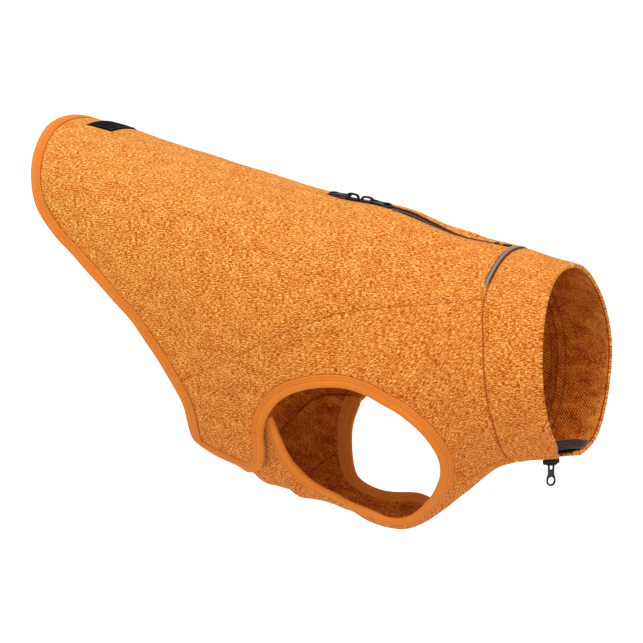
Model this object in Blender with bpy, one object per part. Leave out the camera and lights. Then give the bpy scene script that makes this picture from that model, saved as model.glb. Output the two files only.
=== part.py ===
"""Pull-on dog sweater in heather knit fleece, filled out as it is worn, with nobody in it.

Frame: metres, +X towards the neck, +Y the dog's left, +Z up.  The origin is on the inner face of
the back, on its middle line, where the wearer's back carries the garment.

Every cut piece is an outline on one skin.  A place on the skin is (station, round): station runs
from the tail (0) to the neck edge (1), round from the middle of the back (0) to the middle of the
belly (1), positive on the dog's right.
"""
import bmesh
import bpy
import math
import numpy as np
from mathutils import Matrix, Vector
from mathutils.geometry import delaunay_2d_cdt

# ---------------------------------------------------------------- sizes (metres)
WALL = 0.0024            # knit fleece
COLLAR_WALL = 0.0028     # collar, with its turned edge
SEAM_GAP = 0.0003        # between two pieces at a seam
CLEAR = 0.0003           # between a piece and what it lies on
BIND_WALL = 0.0009       # elastic binding folded over an edge
BIND_WIDTH = 0.0105      # what shows of the binding
BIND_CLEAR = 0.0004      # between the binding and the cloth inside it
TUCK = -0.0064           # the belly panel lies this far inside, under the side tabs
TUCK_FROM, TUCK_TO = 0.69, 0.575     # stations between which it sinks
GRID = 0.0165            # spacing of the cloth's points
EDGE_STEP = 0.0105       # spacing along a bound edge
SEAM_STEP = 0.0145       # spacing along a seam
LENGTH, HALF_ROUND = 0.49, 0.30      # rough size of one station and one round, for spacing

TAPE_HALF = 0.013        # zip tape
TAPE_WALL = 0.0006
COIL_HALF, COIL_HIGH = 0.0021, 0.0014
SLIDER_LONG, SLIDER_WIDE = 0.0112, 0.0078
SLIDER_LOW, SLIDER_TOP = -0.0009, 0.0014
BAIL_WIDE, BAIL_LONG, BAIL_POST, BAIL_TOP = 0.0016, 0.0104, 0.0008, 0.0049
AXIS_UP = 0.0027         # pull's hinge above the cloth
PULL_THICK = 0.0015

# The skin's sections: the points on the middle of the back and of the belly, the half width, how
# much fuller the section is above its middle, how square it is, and how far its sides bow forward.
SECTIONS = (
    # station, back_x, back_z, belly_x, belly_z, half_width, high, square, bow
    (0.00, -0.207, 0.0465, -0.207, -0.1325, 0.070, 0.10, 0.05, 0.000),
    (0.12, -0.150, 0.0385, -0.140, -0.1775, 0.080, 0.12, 0.05, 0.000),
    (0.28, -0.075, 0.0205, -0.057, -0.2245, 0.087, 0.13, 0.04, 0.000),
    (0.44, 0.000, 0.0025, 0.010, -0.2520, 0.087, 0.17, 0.03, 0.000),
    (0.58, 0.067, -0.0107, 0.073, -0.2695, 0.083, 0.18, 0.00, 0.000),
    (0.71, 0.130, -0.0209, 0.131, -0.2725, 0.080, 0.04, 0.05, 0.000),
    (0.83, 0.189, -0.0385, 0.181, -0.2405, 0.072, 0.00, 0.02, 0.002),
    (0.92, 0.233, -0.0435, 0.221, -0.2105, 0.067, 0.01, -0.02, 0.006),
    (1.00, 0.271, -0.0530, 0.279, -0.2000, 0.065, 0.01, 0.02, 0.003),
)
# Outlines on the dog's right, as (station, round).  The finished edge runs from the middle of the
# hem, down the side, round the tab, over the armhole and back along its lower side.
HEM = ((0.038, 0.000), (0.041, 0.110), (0.050, 0.230), (0.056, 0.310), (0.068, 0.375),
       (0.088, 0.416), (0.118, 0.446), (0.192, 0.488), (0.262, 0.530), (0.304, 0.595),
       (0.325, 0.636))
TAB = ((0.325, 0.636), (0.338, 0.682), (0.329, 0.735), (0.312, 0.828), (0.342, 0.842),
       (0.386, 0.838), (0.424, 0.830), (0.446, 0.822), (0.462, 0.804), (0.476, 0.778),
       (0.489, 0.742), (0.497, 0.707), (0.502, 0.668))
ARMHOLE_TOP = ((0.502, 0.668), (0.513, 0.635), (0.530, 0.602), (0.556, 0.566), (0.592, 0.538),
               (0.635, 0.519), (0.682, 0.509), (0.727, 0.515), (0.781, 0.557), (0.820, 0.622),
               (0.841, 0.697), (0.844, 0.748), (0.838, 0.790), (0.819, 0.842), (0.796, 0.884))
ARMHOLE_LOW = ((0.796, 0.884), (0.765, 0.886), (0.739, 0.864), (0.714, 0.836), (0.688, 0.818),
               (0.650, 0.827), (0.613, 0.832), (0.580, 0.818), (0.554, 0.785), (0.538, 0.745),
               (0.529, 0.700), (0.522, 0.622))
BELLY_EDGE = ((0.522, 0.622), (0.472, 0.642), (0.440, 0.690), (0.414, 0.760), (0.394, 0.835),
              (0.385, 0.920), (0.383, 1.000))
PRINCESS = ((0.325, 0.636), (0.441, 0.541), (0.561, 0.439), (0.671, 0.366), (0.784, 0.317),
            (0.903, 0.291))
CHEST_SEAM = ((0.796, 0.884), (0.870, 0.890), (0.936, 0.885))
COLLAR_SEAM = (
    # round, station
    (0.00, 0.911), (0.15, 0.907), (0.29, 0.903), (0.41, 0.913), (0.50, 0.920),
    (0.60, 0.927), (0.70, 0.934), (0.87, 0.936), (1.00, 0.936))
# The cloth stands open over each zip.
LEASH_SLOT = (
    # station, half_width
    (0.566, 0.0016), (0.578, 0.0040), (0.594, 0.0050), (0.612, 0.0052), (0.634, 0.0052),
    (0.652, 0.0050), (0.672, 0.0044), (0.700, 0.0040), (0.740, 0.0036), (0.780, 0.0026),
    (0.820, 0.0014), (0.856, 0.0010), (0.888, 0.0009))
CHEST_SLIT = (
    # station, half_width
    (0.752, 0.0010), (0.776, 0.0011), (0.800, 0.0012), (0.825, 0.0012), (0.850, 0.0013),
    (0.875, 0.0013), (0.900, 0.0014), (0.920, 0.0016), (0.936, 0.0018),
    (0.950, 0.0040), (0.962, 0.0050), (0.976, 0.0050), (0.988, 0.0044), (1.000, 0.0036))
LABEL = dict(station=0.128, long=0.026, wide=0.038, thick=0.0008)
PIPING = dict(reach=0.275, wide=0.0030, thick=0.0010)
LEASH_SLIDERS = (
    # name, station, axis_along, pull_points, rest tilt in degrees
    ("rear", 0.6142, -0.0030, -1, 3.5),
    ("front", 0.6412, 0.0030, 1, 3.5),
)
CHEST_STATION = 0.9720
COLORS = dict(heather=(0.78, 0.33, 0.075, 1), binding=(0.80, 0.30, 0.06, 1),
              black=(0.022, 0.023, 0.026, 1), metal=(0.05, 0.05, 0.055, 1),
              piping=(0.32, 0.30, 0.31, 1))
HALF_TURN = math.pi


# ---------------------------------------------------------------- the skin
def monotone(rows, x):
    """Smooth interpolation through a table's rows that adds no wiggle between them."""
    rows = np.array(rows, float)
    xs, ys = rows[:, 0], rows[:, 1:]
    h = np.diff(xs)[:, None]
    slope = np.diff(ys, axis=0) / h
    w1, w2 = 2 * h[1:] + h[:-1], h[1:] + 2 * h[:-1]
    same = slope[:-1] * slope[1:] > 0
    safe = np.where(same, slope[:-1], 1.0), np.where(same, slope[1:], 1.0)
    mid = np.where(same, (w1 + w2) / (w1 / safe[0] + w2 / safe[1]), 0.0)
    m = np.vstack([slope[:1], mid, slope[-1:]])
    x = np.asarray(x, float)
    i = np.clip(np.searchsorted(xs, x, side="right") - 1, 0, len(xs) - 2)
    t = ((x - xs[i]) / (xs[i + 1] - xs[i]))[..., None]
    hi = h[i]
    return ((1 + 2 * t) * (1 - t) ** 2 * ys[i] + t * (1 - t) ** 2 * hi * m[i]
            + t * t * (3 - 2 * t) * ys[i + 1] + t * t * (t - 1) * hi * m[i + 1])


def place(s, r):
    """Point of the skin at (station, round)."""
    s, r = np.broadcast_arrays(np.asarray(s, float), np.asarray(r, float))
    c = monotone(SECTIONS, s)
    back_x, back_z, belly_x, belly_z, half, high, square, bow = np.moveaxis(c, -1, 0)
    a = HALF_TURN * r
    t = (1 - np.cos(a)) / 2
    y = half * (np.sin(a) + high * np.sin(2 * a) + square * np.sin(3 * a))
    x = back_x + (belly_x - back_x) * t + bow * np.sin(a) ** 2
    return np.stack([x, -y, back_z + (belly_z - back_z) * t], axis=-1)


def axes(s, r):
    """Change of place with station and with round, and the outward normal."""
    e = 1e-4
    along = (place(s + e, r) - place(s - e, r)) / (2 * e)
    across = (place(s, r + e) - place(s, r - e)) / (2 * e)
    normal = np.cross(across, along)
    return along, across, normal / np.linalg.norm(normal, axis=-1, keepdims=True)


def skin(sr, lift=0.0):
    """Points of an (n, 2) array of (station, round), moved out along the normal."""
    s, r = sr[..., 0], sr[..., 1]
    return place(s, r) + axes(s, r)[2] * np.asarray(lift)[..., None]


def slide(sr, move):
    """(station, round) after a small move in space, kept on the skin."""
    along, across, _ = axes(sr[:, 0], sr[:, 1])
    aa, ab, bb = (along * along).sum(1), (along * across).sum(1), (across * across).sum(1)
    ma, mb = (along * move).sum(1), (across * move).sum(1)
    det = aa * bb - ab * ab
    return sr + np.stack([(ma * bb - mb * ab) / det, (mb * aa - ma * ab) / det], axis=1)


def belly_lift(sr):
    """How far the belly panel has sunk inside the skin."""
    t = np.clip((TUCK_FROM - sr[..., 0]) / (TUCK_FROM - TUCK_TO), 0, 1)
    return TUCK * t * t * (3 - 2 * t)


def mirror(sr, centre=0.0):
    """The same outline on the other side of the middle line at round = centre."""
    return np.stack([sr[..., 0], 2 * centre - sr[..., 1]], axis=-1)


# ---------------------------------------------------------------- outlines
def dense(rows, step=0.001):
    """Table rows as a chain of points about a millimetre apart."""
    rows = np.array(rows, float)
    out = [rows[:1]]
    for a, b in zip(rows[:-1], rows[1:]):
        n = max(2, int(np.linalg.norm(place(*b) - place(*a)) / step))
        out.append(a + (b - a) * np.linspace(0, 1, n + 1)[1:, None])
    return np.vstack(out)


def soften(chain, reach):
    """Rounds a chain's corners; its ends stay where they are."""
    n = reach
    for _ in range(2):
        head, tail = 2 * chain[:1] - chain[n:0:-1], 2 * chain[-1:] - chain[-2:-n - 2:-1]
        padded = np.vstack([head, chain, tail])
        total = np.vstack([np.zeros((1, 2)), np.cumsum(padded, axis=0)])
        chain = (total[2 * n + 1:] - total[:-2 * n - 1]) / (2 * n + 1)
    return chain


def paced(chain, step, tight=0.0):
    """Points along a chain, step apart, closer by tight times the turn where it bends."""
    p = place(chain[:, 0], chain[:, 1])
    d = np.linalg.norm(np.diff(p, axis=0), axis=1)
    k = 4
    turn = np.zeros(len(p))
    a, b = p[k:-k] - p[:-2 * k], p[2 * k:] - p[k:-k]
    na, nb = np.linalg.norm(a, axis=1), np.linalg.norm(b, axis=1)
    cosine = np.clip((a * b).sum(1) / (na * nb), -1, 1)
    turn[k:-k] = np.arccos(cosine) / ((na + nb) / 2)
    weight = d * (1 + tight * (turn[1:] + turn[:-1]) / 2)
    along = np.concatenate([[0], np.cumsum(weight)])
    n = max(2, int(round(along[-1] / step)))
    want = np.linspace(0, along[-1], n + 1)
    return np.stack([np.interp(want, along, chain[:, i]) for i in (0, 1)], axis=1)


def inward(chain, side=1.0):
    """Unit direction in the skin, square to a chain, into the cloth beside it."""
    p = place(chain[:, 0], chain[:, 1])
    t = np.gradient(p, axis=0)
    w = np.cross(axes(chain[:, 0], chain[:, 1])[2], t) * side
    return w / np.linalg.norm(w, axis=1, keepdims=True)


def pull_in(loop, near):
    """A closed outline moved inwards; near holds the distance for the edge after each point."""
    p = place(loop[:, 0], loop[:, 1])
    along, across, normal = axes(loop[:, 0], loop[:, 1])
    area = np.cross(loop, np.roll(loop, -1, axis=0)).sum()
    turn = 1.0 if area < 0 else -1.0
    after = np.roll(p, -1, axis=0) - p
    before = p - np.roll(p, 1, axis=0)
    moves = np.zeros_like(p)
    for i in range(len(loop)):
        rows, want = [], []
        for edge, dist in ((before[i], near[i - 1]), (after[i], near[i])):
            n = np.cross(normal[i], edge) * turn
            rows.append(n / np.linalg.norm(n))
            want.append(dist)
        if np.dot(rows[0], rows[1]) > 0.985:
            mean = rows[0] + rows[1]
            moves[i] = mean / np.linalg.norm(mean) * max(want)
        else:
            moves[i] = np.linalg.lstsq(np.array(rows), np.array(want), rcond=None)[0]
    return slide(loop, moves)


# ---------------------------------------------------------------- objects
def material(name, rough, metal=0.0):
    mat = bpy.data.materials.new(name)
    mat.use_nodes = True
    bsdf = mat.node_tree.nodes["Principled BSDF"]
    bsdf.inputs["Base Color"].default_value = COLORS[name]
    bsdf.inputs["Roughness"].default_value = rough
    bsdf.inputs["Metallic"].default_value = metal
    mat.diffuse_color = COLORS[name]
    return mat


def add(name, mesh, mat, group):
    obj = bpy.data.objects.new(name, mesh)
    mesh.materials.clear()
    mesh.materials.append(mat)
    group.objects.link(obj)
    return obj


def closed(name, verts, faces, mat, group):
    mesh = bpy.data.meshes.new(name)
    mesh.from_pydata(np.asarray(verts).tolist(), [], [list(map(int, f)) for f in faces])
    mesh.shade_smooth()
    mesh.set_sharp_from_angle(angle=math.radians(50))
    return add(name, mesh, mat, group)


def rim(faces):
    """Edges that only one triangle uses, in the triangles' own direction."""
    pairs = np.vstack([faces[:, [0, 1]], faces[:, [1, 2]], faces[:, [2, 0]]])
    keys = {tuple(p) for p in pairs.tolist()}
    return [p for p in keys if (p[1], p[0]) not in keys]


def inside(points, loop):
    """Which points lie inside a closed outline."""
    a, b = loop, np.roll(loop, -1, axis=0)
    x, y = points[:, 0:1], points[:, 1:2]
    crosses = (a[:, 1] > y) != (b[:, 1] > y)
    rise = np.where(b[:, 1] == a[:, 1], 1.0, b[:, 1] - a[:, 1])
    at = (b[:, 0] - a[:, 0]) * (y - a[:, 1]) / rise + a[:, 0]
    return (crosses & (x < at)).sum(1) % 2 == 1


def fill(loops, marks, spacing):
    """Even points inside the first outline, clear of the holes, the edges and the marks."""
    size = np.array([LENGTH, HALF_ROUND])
    scaled = [loop * size for loop in loops]
    low, high = scaled[0].min(0), scaled[0].max(0)
    middle, count = (low[1] + high[1]) / 2, int((high[1] - low[1]) / spacing)
    xs = np.arange(low[0] + spacing / 2, high[0], spacing)
    grid = np.array([(x + (spacing / 2 if j % 2 else 0), middle + j * spacing * 0.866)
                     for j in range(-count, count + 1) for x in xs])
    keep = inside(grid, scaled[0])
    for hole in scaled[1:]:
        keep &= ~inside(grid, hole)
    grid = grid[keep]
    fixed = np.vstack(scaled + [m * size for m in marks])
    gap = np.sqrt(((grid[:, None, :] - fixed[None]) ** 2).sum(2)).min(1)
    return grid[gap > spacing * 0.62] / size


def cut_cloth(name, loops, marks, lift, wall, mat, group, spacing=GRID):
    """A cut piece: its outline and holes on the skin, filled, laid in place and given its wall."""
    size = np.array([LENGTH, HALF_ROUND])
    points = list(loops) + [m for m in marks if len(m)] + [fill(loops, marks, spacing)]
    edges, start = [], 0
    for loop in loops:
        n = len(loop)
        edges += [(start + i, start + (i + 1) % n) for i in range(n)]
        start += n
    flat = np.vstack(points)
    out = delaunay_2d_cdt([Vector(p) for p in flat * size], edges, [], 0, 1e-7)
    verts = np.array([v[:] for v in out[0]]) / size
    faces = np.array(out[2])
    middle = verts[faces].mean(1)
    keep = inside(middle, loops[0])
    for hole in loops[1:]:
        keep &= ~inside(middle, hole)
    faces = faces[keep]
    used = np.unique(faces)
    index = np.full(len(verts), -1)
    index[used] = np.arange(len(used))
    verts, faces = verts[used], index[faces]
    lift = lift(verts) if callable(lift) else np.full(len(verts), lift)
    outer, inner = skin(verts, lift), skin(verts, lift - wall)
    normal = axes(verts[:, 0], verts[:, 1])[2]
    a, b, c = (outer[faces[:, i]] for i in range(3))
    out_of = (np.cross(b - a, c - a) * normal[faces[:, 0]]).sum(1) > 0
    faces = np.where(out_of[:, None], faces, faces[:, ::-1])
    n = len(verts)
    skins = faces.tolist() + (faces[:, ::-1] + n).tolist()
    sides = [(b, a, a + n, b + n) for a, b in rim(faces)]
    return closed(name, np.vstack([outer, inner]), skins + sides, mat, group)


def loft(name, rings, mat, group):
    """A closed strip through closed rings of points, with a cap at each end."""
    n, m = rings.shape[:2]
    faces = [(i * m + j, i * m + (j + 1) % m, (i + 1) * m + (j + 1) % m, (i + 1) * m + j)
             for i in range(n - 1) for j in range(m)]
    half = m // 2
    for base, turn in ((0, -1), ((n - 1) * m, 1)):
        for j in range(half - 1):
            faces.append([base + k for k in (j, j + 1, m - 2 - j, m - 1 - j)][::turn])
    return closed(name, rings.reshape(-1, 3), faces, mat, group)


def laid(name, grid, lift, wall, mat, group):
    """A strip or patch laid on the skin: grid is (rows along, columns across, 2)."""
    rows, columns = grid.shape[:2]
    flat = grid.reshape(-1, 2)
    lift = np.broadcast_to(lift, (rows, columns)).reshape(-1)
    top = skin(flat, lift).reshape(rows, columns, 3)
    low = skin(flat, lift - wall).reshape(rows, columns, 3)
    face = np.cross(top[-1, 0] - top[0, 0], top[0, -1] - top[0, 0])
    if np.dot(face, axes(flat[:1, 0], flat[:1, 1])[2][0]) > 0:
        top, low = top[:, ::-1], low[:, ::-1]
    return loft(name, np.concatenate([top, low[:, ::-1]], axis=1), mat, group)


def bind(name, edge, sunk, side, cloth, mat, group):
    """Binding folded over a bound edge: a leg on the outside, one on the inside.

    sunk says at each point whether the cloth inside is the belly panel, which lies deeper.
    """
    way = inward(edge, side)

    def at(sr, out, up):
        base = sunk * belly_lift(sr) - (0.0 if out else cloth)
        return skin(sr, base + up)

    wall, clear = BIND_WALL, BIND_CLEAR
    tip, fold = slide(edge, way * BIND_WIDTH), slide(edge, way * wall)
    outer = [at(tip, 1, clear + wall), at(edge, 1, clear + wall),
             at(edge, 0, -clear - wall), at(tip, 0, -clear - wall)]
    inner = [at(tip, 0, -clear), at(fold, 0, -clear), at(fold, 1, clear), at(tip, 1, clear)]
    rings = np.stack(outer + inner, axis=1)
    if side < 0:
        rings = rings[:, ::-1]
    return loft(name, rings, mat, group)


def plate(name, outlines, thick, mat, group):
    """A flat plate from closed outlines; the ones inside the first are holes."""
    curve = bpy.data.curves.new(name + "_outline", "CURVE")
    curve.dimensions, curve.fill_mode, curve.extrude = "2D", "BOTH", thick / 2
    for outline in outlines:
        line = curve.splines.new("POLY")
        line.points.add(len(outline) - 1)
        for point, (x, y) in zip(line.points, outline):
            point.co = (x, y, 0, 1)
        line.use_cyclic_u = True
    flat = bpy.data.objects.new(name + "_flat", curve)
    group.objects.link(flat)
    bpy.context.view_layer.update()
    graph = bpy.context.evaluated_depsgraph_get()
    mesh = bpy.data.meshes.new_from_object(flat.evaluated_get(graph))
    bpy.data.objects.remove(flat)
    weld(mesh)
    return add(name, mesh, mat, group)


def weld(mesh):
    bm = bmesh.new()
    bm.from_mesh(mesh)
    bmesh.ops.remove_doubles(bm, verts=bm.verts, dist=1e-6)
    bmesh.ops.recalc_face_normals(bm, faces=bm.faces)
    bm.to_mesh(mesh)
    bm.free()


def ellipse(cx, cy, rx, ry, n=16):
    return [(cx + rx * math.cos(2 * math.pi * i / n), cy + ry * math.sin(2 * math.pi * i / n))
            for i in range(n)]


# ---------------------------------------------------------------- zips
def across(stations, offset, centre):
    """Places offset metres to the side of the middle line, at each station."""
    s = np.asarray(stations, float)
    width = np.linalg.norm(axes(s, np.full_like(s, centre))[1], axis=1)
    return np.stack([s, centre + np.asarray(offset) / width], axis=1)


def slit_side(table, centre, sign):
    rows = np.array(table)
    return across(rows[:, 0], sign * rows[:, 1], centre)


def zip_tape(name, stations, openings, centre, top, mat, group):
    """Tape with its coil, which stands up where the cloth leaves room for it."""
    room = np.interp(stations, openings[:, 0], openings[:, 1])
    room = np.minimum(np.minimum(room, np.append(room[1:], 0)), np.append(0, room[:-1]))
    high = np.where(room > COIL_HALF + 0.0006, COIL_HIGH, 0.0)
    columns = ((-TAPE_HALF, 0), (-COIL_HALF - 0.0004, 0), (-COIL_HALF, 1), (COIL_HALF, 1),
               (COIL_HALF + 0.0004, 0), (TAPE_HALF, 0))
    grid = np.stack([across(stations, np.full(len(stations), c[0]), centre) for c in columns], 1)
    lift = top + high[:, None] * np.array([c[1] for c in columns])[None]
    return laid(name, grid, lift, TAPE_WALL, mat, group)


def slider_frame(station, centre):
    """Axes on the cloth under a slider: forward, sideways, outward."""
    s, r = np.array([station]), np.array([centre])
    along, _, normal = (v[0] for v in axes(s, r))
    forward = Vector(along).normalized()
    out = Vector(normal)
    out = (out - forward * out.dot(forward)).normalized()
    side = out.cross(forward)
    frame = Matrix((forward, side, out)).transposed().to_4x4()
    frame.translation = Vector(place(station, centre))
    return frame


def slider(name, frame, metal, group, tools):
    """Slider body with the bail that carries its pull."""
    long, wide = SLIDER_LONG / 2, SLIDER_WIDE / 2
    outline = [(-long, -wide * 0.72), (-long * 0.3, -wide), (long * 0.8, -wide),
               (long, -wide * 0.8), (long, wide * 0.8), (long * 0.8, wide),
               (-long * 0.3, wide), (-long, wide * 0.72)]
    body = plate(name, [outline], SLIDER_TOP - SLIDER_LOW, metal, group)
    body.matrix_world = frame @ Matrix.Translation((0, 0, (SLIDER_TOP + SLIDER_LOW) / 2))
    b, p, top = BAIL_LONG / 2, BAIL_POST, BAIL_TOP
    base = SLIDER_TOP - 0.0005
    hoop = [(-b, base), (b, base), (b, top - 0.0011), (b - 0.0012, top), (-b + 0.0012, top),
            (-b, top - 0.0011)]
    window = [(-b + p, SLIDER_TOP + 0.00001), (b - p, SLIDER_TOP + 0.00001),
              (b - p, top - 0.0013), (b - p - 0.0005, top - 0.0008),
              (-b + p + 0.0005, top - 0.0008), (-b + p, top - 0.0013)]
    bail = plate(name + "_bail", [hoop, window], BAIL_WIDE, metal, tools)
    bail.matrix_world = frame @ Matrix.Rotation(math.pi / 2, 4, "X")
    bail.hide_render = True
    bail.display_type = "WIRE"
    join = body.modifiers.new("bail", "BOOLEAN")
    join.operation, join.object = "UNION", bail
    return body


def pull(name, hinge, metal, group):
    """Pull tab along +X of its hinge frame, turning about its bar at the frame's origin."""
    half = ((-0.0007, 0.0020), (-0.0002, 0.0028), (0.0062, 0.0028), (0.0080, 0.0023),
            (0.0100, 0.0024), (0.0122, 0.0035), (0.0145, 0.0039), (0.0166, 0.0036),
            (0.0181, 0.0026), (0.0188, 0.0010))
    outline = [(x, y) for x, y in half] + [(x, -y) for x, y in reversed(half)]
    slot = [(0.0008, -0.0012), (0.0057, -0.0012), (0.0057, 0.0012), (0.0008, 0.0012)]
    tab = plate(name, [outline, slot, ellipse(0.0146, 0, 0.0027, 0.0024)], PULL_THICK, metal, group)
    tab.matrix_world = hinge
    return tab


# ---------------------------------------------------------------- the garment
def edges_of_cloth():
    """The bound edge as one soft chain, split where the panels meet."""
    parts = [HEM, TAB, ARMHOLE_TOP, ARMHOLE_LOW]
    rows = list(HEM) + [row for part in parts[1:] for row in part[1:]]
    chain = soften(dense(rows), 7)
    cuts, at = [0], 0
    for part in parts[:-1]:
        end = np.array(part[-1])
        gap = np.linalg.norm(place(chain[at:, 0], chain[at:, 1]) - place(*end), axis=1)
        at += int(np.argmin(gap))
        cuts.append(at)
    cuts.append(len(chain) - 1)
    pieces = [paced(chain[a:b + 1], EDGE_STEP, 0.012) for a, b in zip(cuts[:-1], cuts[1:])]
    way = inward(np.vstack([pieces[0]] + [p[1:] for p in pieces[1:]]), 1.0)
    out, start = [], 0
    for p in pieces:
        w = way[start:start + len(p)]
        start += len(p) - 1
        raw = slide(p, w * (BIND_CLEAR + BIND_WALL))
        out.append(dict(edge=p, raw=raw, tip=slide(p, w * BIND_WIDTH)))
    return out


def seam_line(rows, step=SEAM_STEP, reach=7):
    return paced(soften(dense(rows), reach), step)


def collar_line(*ends):
    """The collar seam between rounds, with the same points for both of its pieces."""
    rounds = [np.array(ends[:1], float)]
    for start, end in zip(ends[:-1], ends[1:]):
        n = max(1, int(round(abs(end - start) * 0.215 / SEAM_STEP)))
        rounds.append(np.linspace(start, end, n + 1)[1:])
    r = np.concatenate(rounds)
    return np.stack([monotone(COLLAR_SEAM, np.abs(r))[..., 0], r], axis=1)


def ring(*parts):
    """Joins (chain, distance) parts into a closed outline, moved in by each part's distance."""
    loop = np.vstack([chain[:-1] for chain, _ in parts])
    near = np.concatenate([np.full(len(chain) - 1, d) for chain, d in parts])
    return pull_in(loop, near)


def build():
    for obj in list(bpy.data.objects):
        bpy.data.objects.remove(obj)
    scene = bpy.context.scene.collection
    group, tools = (bpy.data.collections.new(n) for n in ("dog_sweater", "tools"))
    scene.children.link(group)
    scene.children.link(tools)
    cloth, trim = material("heather", 0.95), material("binding", 0.75)
    black, metal = material("black", 0.6), material("metal", 0.4, 0.5)
    grey = material("piping", 0.5)

    hem, tab, top, low = edges_of_cloth()
    gap = SEAM_GAP / 2
    back_end, front_end = tab["raw"][0], top["raw"][-1]
    princess = seam_line(PRINCESS)
    princess[0] = back_end
    chest_seam = seam_line(CHEST_SEAM)
    chest_seam[0] = front_end
    corner_up, corner_low = PRINCESS[-1][1], CHEST_SEAM[-1][1]
    belly = seam_line(BELLY_EDGE, EDGE_STEP, 12)
    belly[0] = low["raw"][-1]

    # marks: points that a panel shares with what is folded over it or laid on it
    slot_r, slot_l = (slit_side(LEASH_SLOT, 0.0, sign) for sign in (1, -1))
    slot = np.vstack([slot_r, slot_l[::-1]])
    tape_s = np.array([0.553] + [row[0] for row in LEASH_SLOT] + [0.8945])
    tape_marks = [across(tape_s, np.full(len(tape_s), sign * TAPE_HALF), 0.0) for sign in (1, -1)]
    tape_marks += [across(tape_s[[0, -1]], np.full(2, d), 0.0) for d in (-0.0045, 0.0, 0.0045)]
    length = float(np.linalg.norm(axes(np.array([LABEL["station"]]), np.zeros(1))[0]))
    label_s = LABEL["station"] + np.linspace(-0.5, 0.5, 3) * LABEL["long"] / length
    label_at = np.linspace(-0.5, 0.5, 5) * LABEL["wide"]
    label_grid = np.stack([across(label_s, np.full(3, d), 0.0) for d in label_at], 1)
    pipe_line = collar_line(-PIPING["reach"], PIPING["reach"])
    pipe_line = paced(dense(pipe_line), SEAM_STEP * 0.7)
    ahead = inward(pipe_line, -1.0)
    if ahead[len(ahead) // 2][0] > 0:
        ahead = -ahead
    pipe_grid = np.stack([slide(pipe_line, ahead * d) for d in
                          (0.0006, 0.0006 + PIPING["wide"])], 1)

    # back panel
    hem_right, hem_left = hem["raw"], mirror(hem["raw"])
    back = ring((hem_left[::-1], 0.0), (hem_right, 0.0), (princess, gap),
                (collar_line(corner_up, -corner_up), gap), (mirror(princess)[::-1], gap))
    marks = [hem["tip"][:-1], mirror(hem["tip"][1:-1]), label_grid.reshape(-1, 2),
             pipe_grid[:, 1]] + tape_marks
    cut_cloth("back_panel", [back, slot], marks, 0.0, WALL, cloth, group)

    # side panels
    side = ring((tab["raw"], 0.0), (top["raw"], 0.0), (chest_seam, gap),
                (collar_line(corner_low, corner_up), gap), (princess[::-1], gap))
    marks = [tab["tip"][1:], top["tip"][1:-1]]
    cut_cloth("side_panel_right", [side], marks, 0.0, WALL, cloth, group)
    cut_cloth("side_panel_left", [mirror(side)], [mirror(m) for m in marks], 0.0, WALL, cloth, group)

    # belly panel, slit from the collar for the chest zip
    slit_rows = [row for row in CHEST_SLIT if row[0] <= 0.9361]
    slit_r = slit_side(slit_rows, 1.0, -1)
    slit = np.vstack([slit_r[::-1], mirror(slit_r, 1.0)])
    front = collar_line(corner_low, slit[0][1])
    half = [(chest_seam[::-1], gap), (low["raw"], 0.0), (belly, 0.0)]
    other = [(mirror(chain, 1.0)[::-1], dist) for chain, dist in reversed(half)]
    front_left = mirror(front, 1.0)
    chest = ring(*half, *other, (front_left, gap), (slit[::-1], 0.0), (front[::-1], gap))
    chest_tape_s = np.array([0.742] + [row[0] for row in CHEST_SLIT[:-1]] + [0.9985])
    chest_marks = [across(chest_tape_s[chest_tape_s < 0.93], sign * TAPE_HALF, 1.0)
                   for sign in (1, -1)]
    chest_marks += [across(chest_tape_s[:1], np.full(1, d), 1.0) for d in (-0.0045, 0.0, 0.0045)]
    marks = [low["tip"][1:-1], mirror(low["tip"][1:-1], 1.0)] + chest_marks
    cut_cloth("belly_panel", [chest], marks, belly_lift, WALL, cloth, group)

    # collar, a band open at the throat
    open_rows = [(0.936, 0.0018)] + [row for row in CHEST_SLIT if row[0] > 0.9361]
    throat = slit_side(open_rows, 1.0, -1)
    neck_r = np.linspace(throat[-1][1], -throat[-1][1], 35)
    neck = np.stack([np.ones_like(neck_r), neck_r], 1)
    seam = collar_line(-throat[0][1], -corner_low, -corner_up, corner_up, corner_low, throat[0][1])
    band = ring((seam, gap), (throat, 0.0), (neck, 0.0), (mirror(throat)[::-1], 0.0))
    ahead_s = chest_tape_s[chest_tape_s > 0.94][:-1]
    marks = [across(ahead_s, -TAPE_HALF, 1.0), mirror(across(ahead_s, -TAPE_HALF, 1.0))]
    cut_cloth("collar", [band], marks, 0.0, COLLAR_WALL, cloth, group, 0.0155)

    # bindings
    tab_back = np.vstack([tab["edge"][::-1], hem["edge"][::-1][1:]])
    whole_hem = np.vstack([tab_back, mirror(tab_back)[::-1][1:]])
    bind("hem_binding", whole_hem, 0.0, -1.0, WALL, trim, group)
    arm = np.vstack([top["edge"], low["edge"][1:]])
    sunk = np.concatenate([np.zeros(len(top["edge"])), np.ones(len(low["edge"]) - 1)])
    arm[0] = arm[0] + (arm[1] - arm[0]) * 0.06
    bind("armhole_binding_right", arm, sunk, 1.0, WALL, trim, group)
    bind("armhole_binding_left", mirror(arm), sunk, -1.0, WALL, trim, group)

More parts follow.
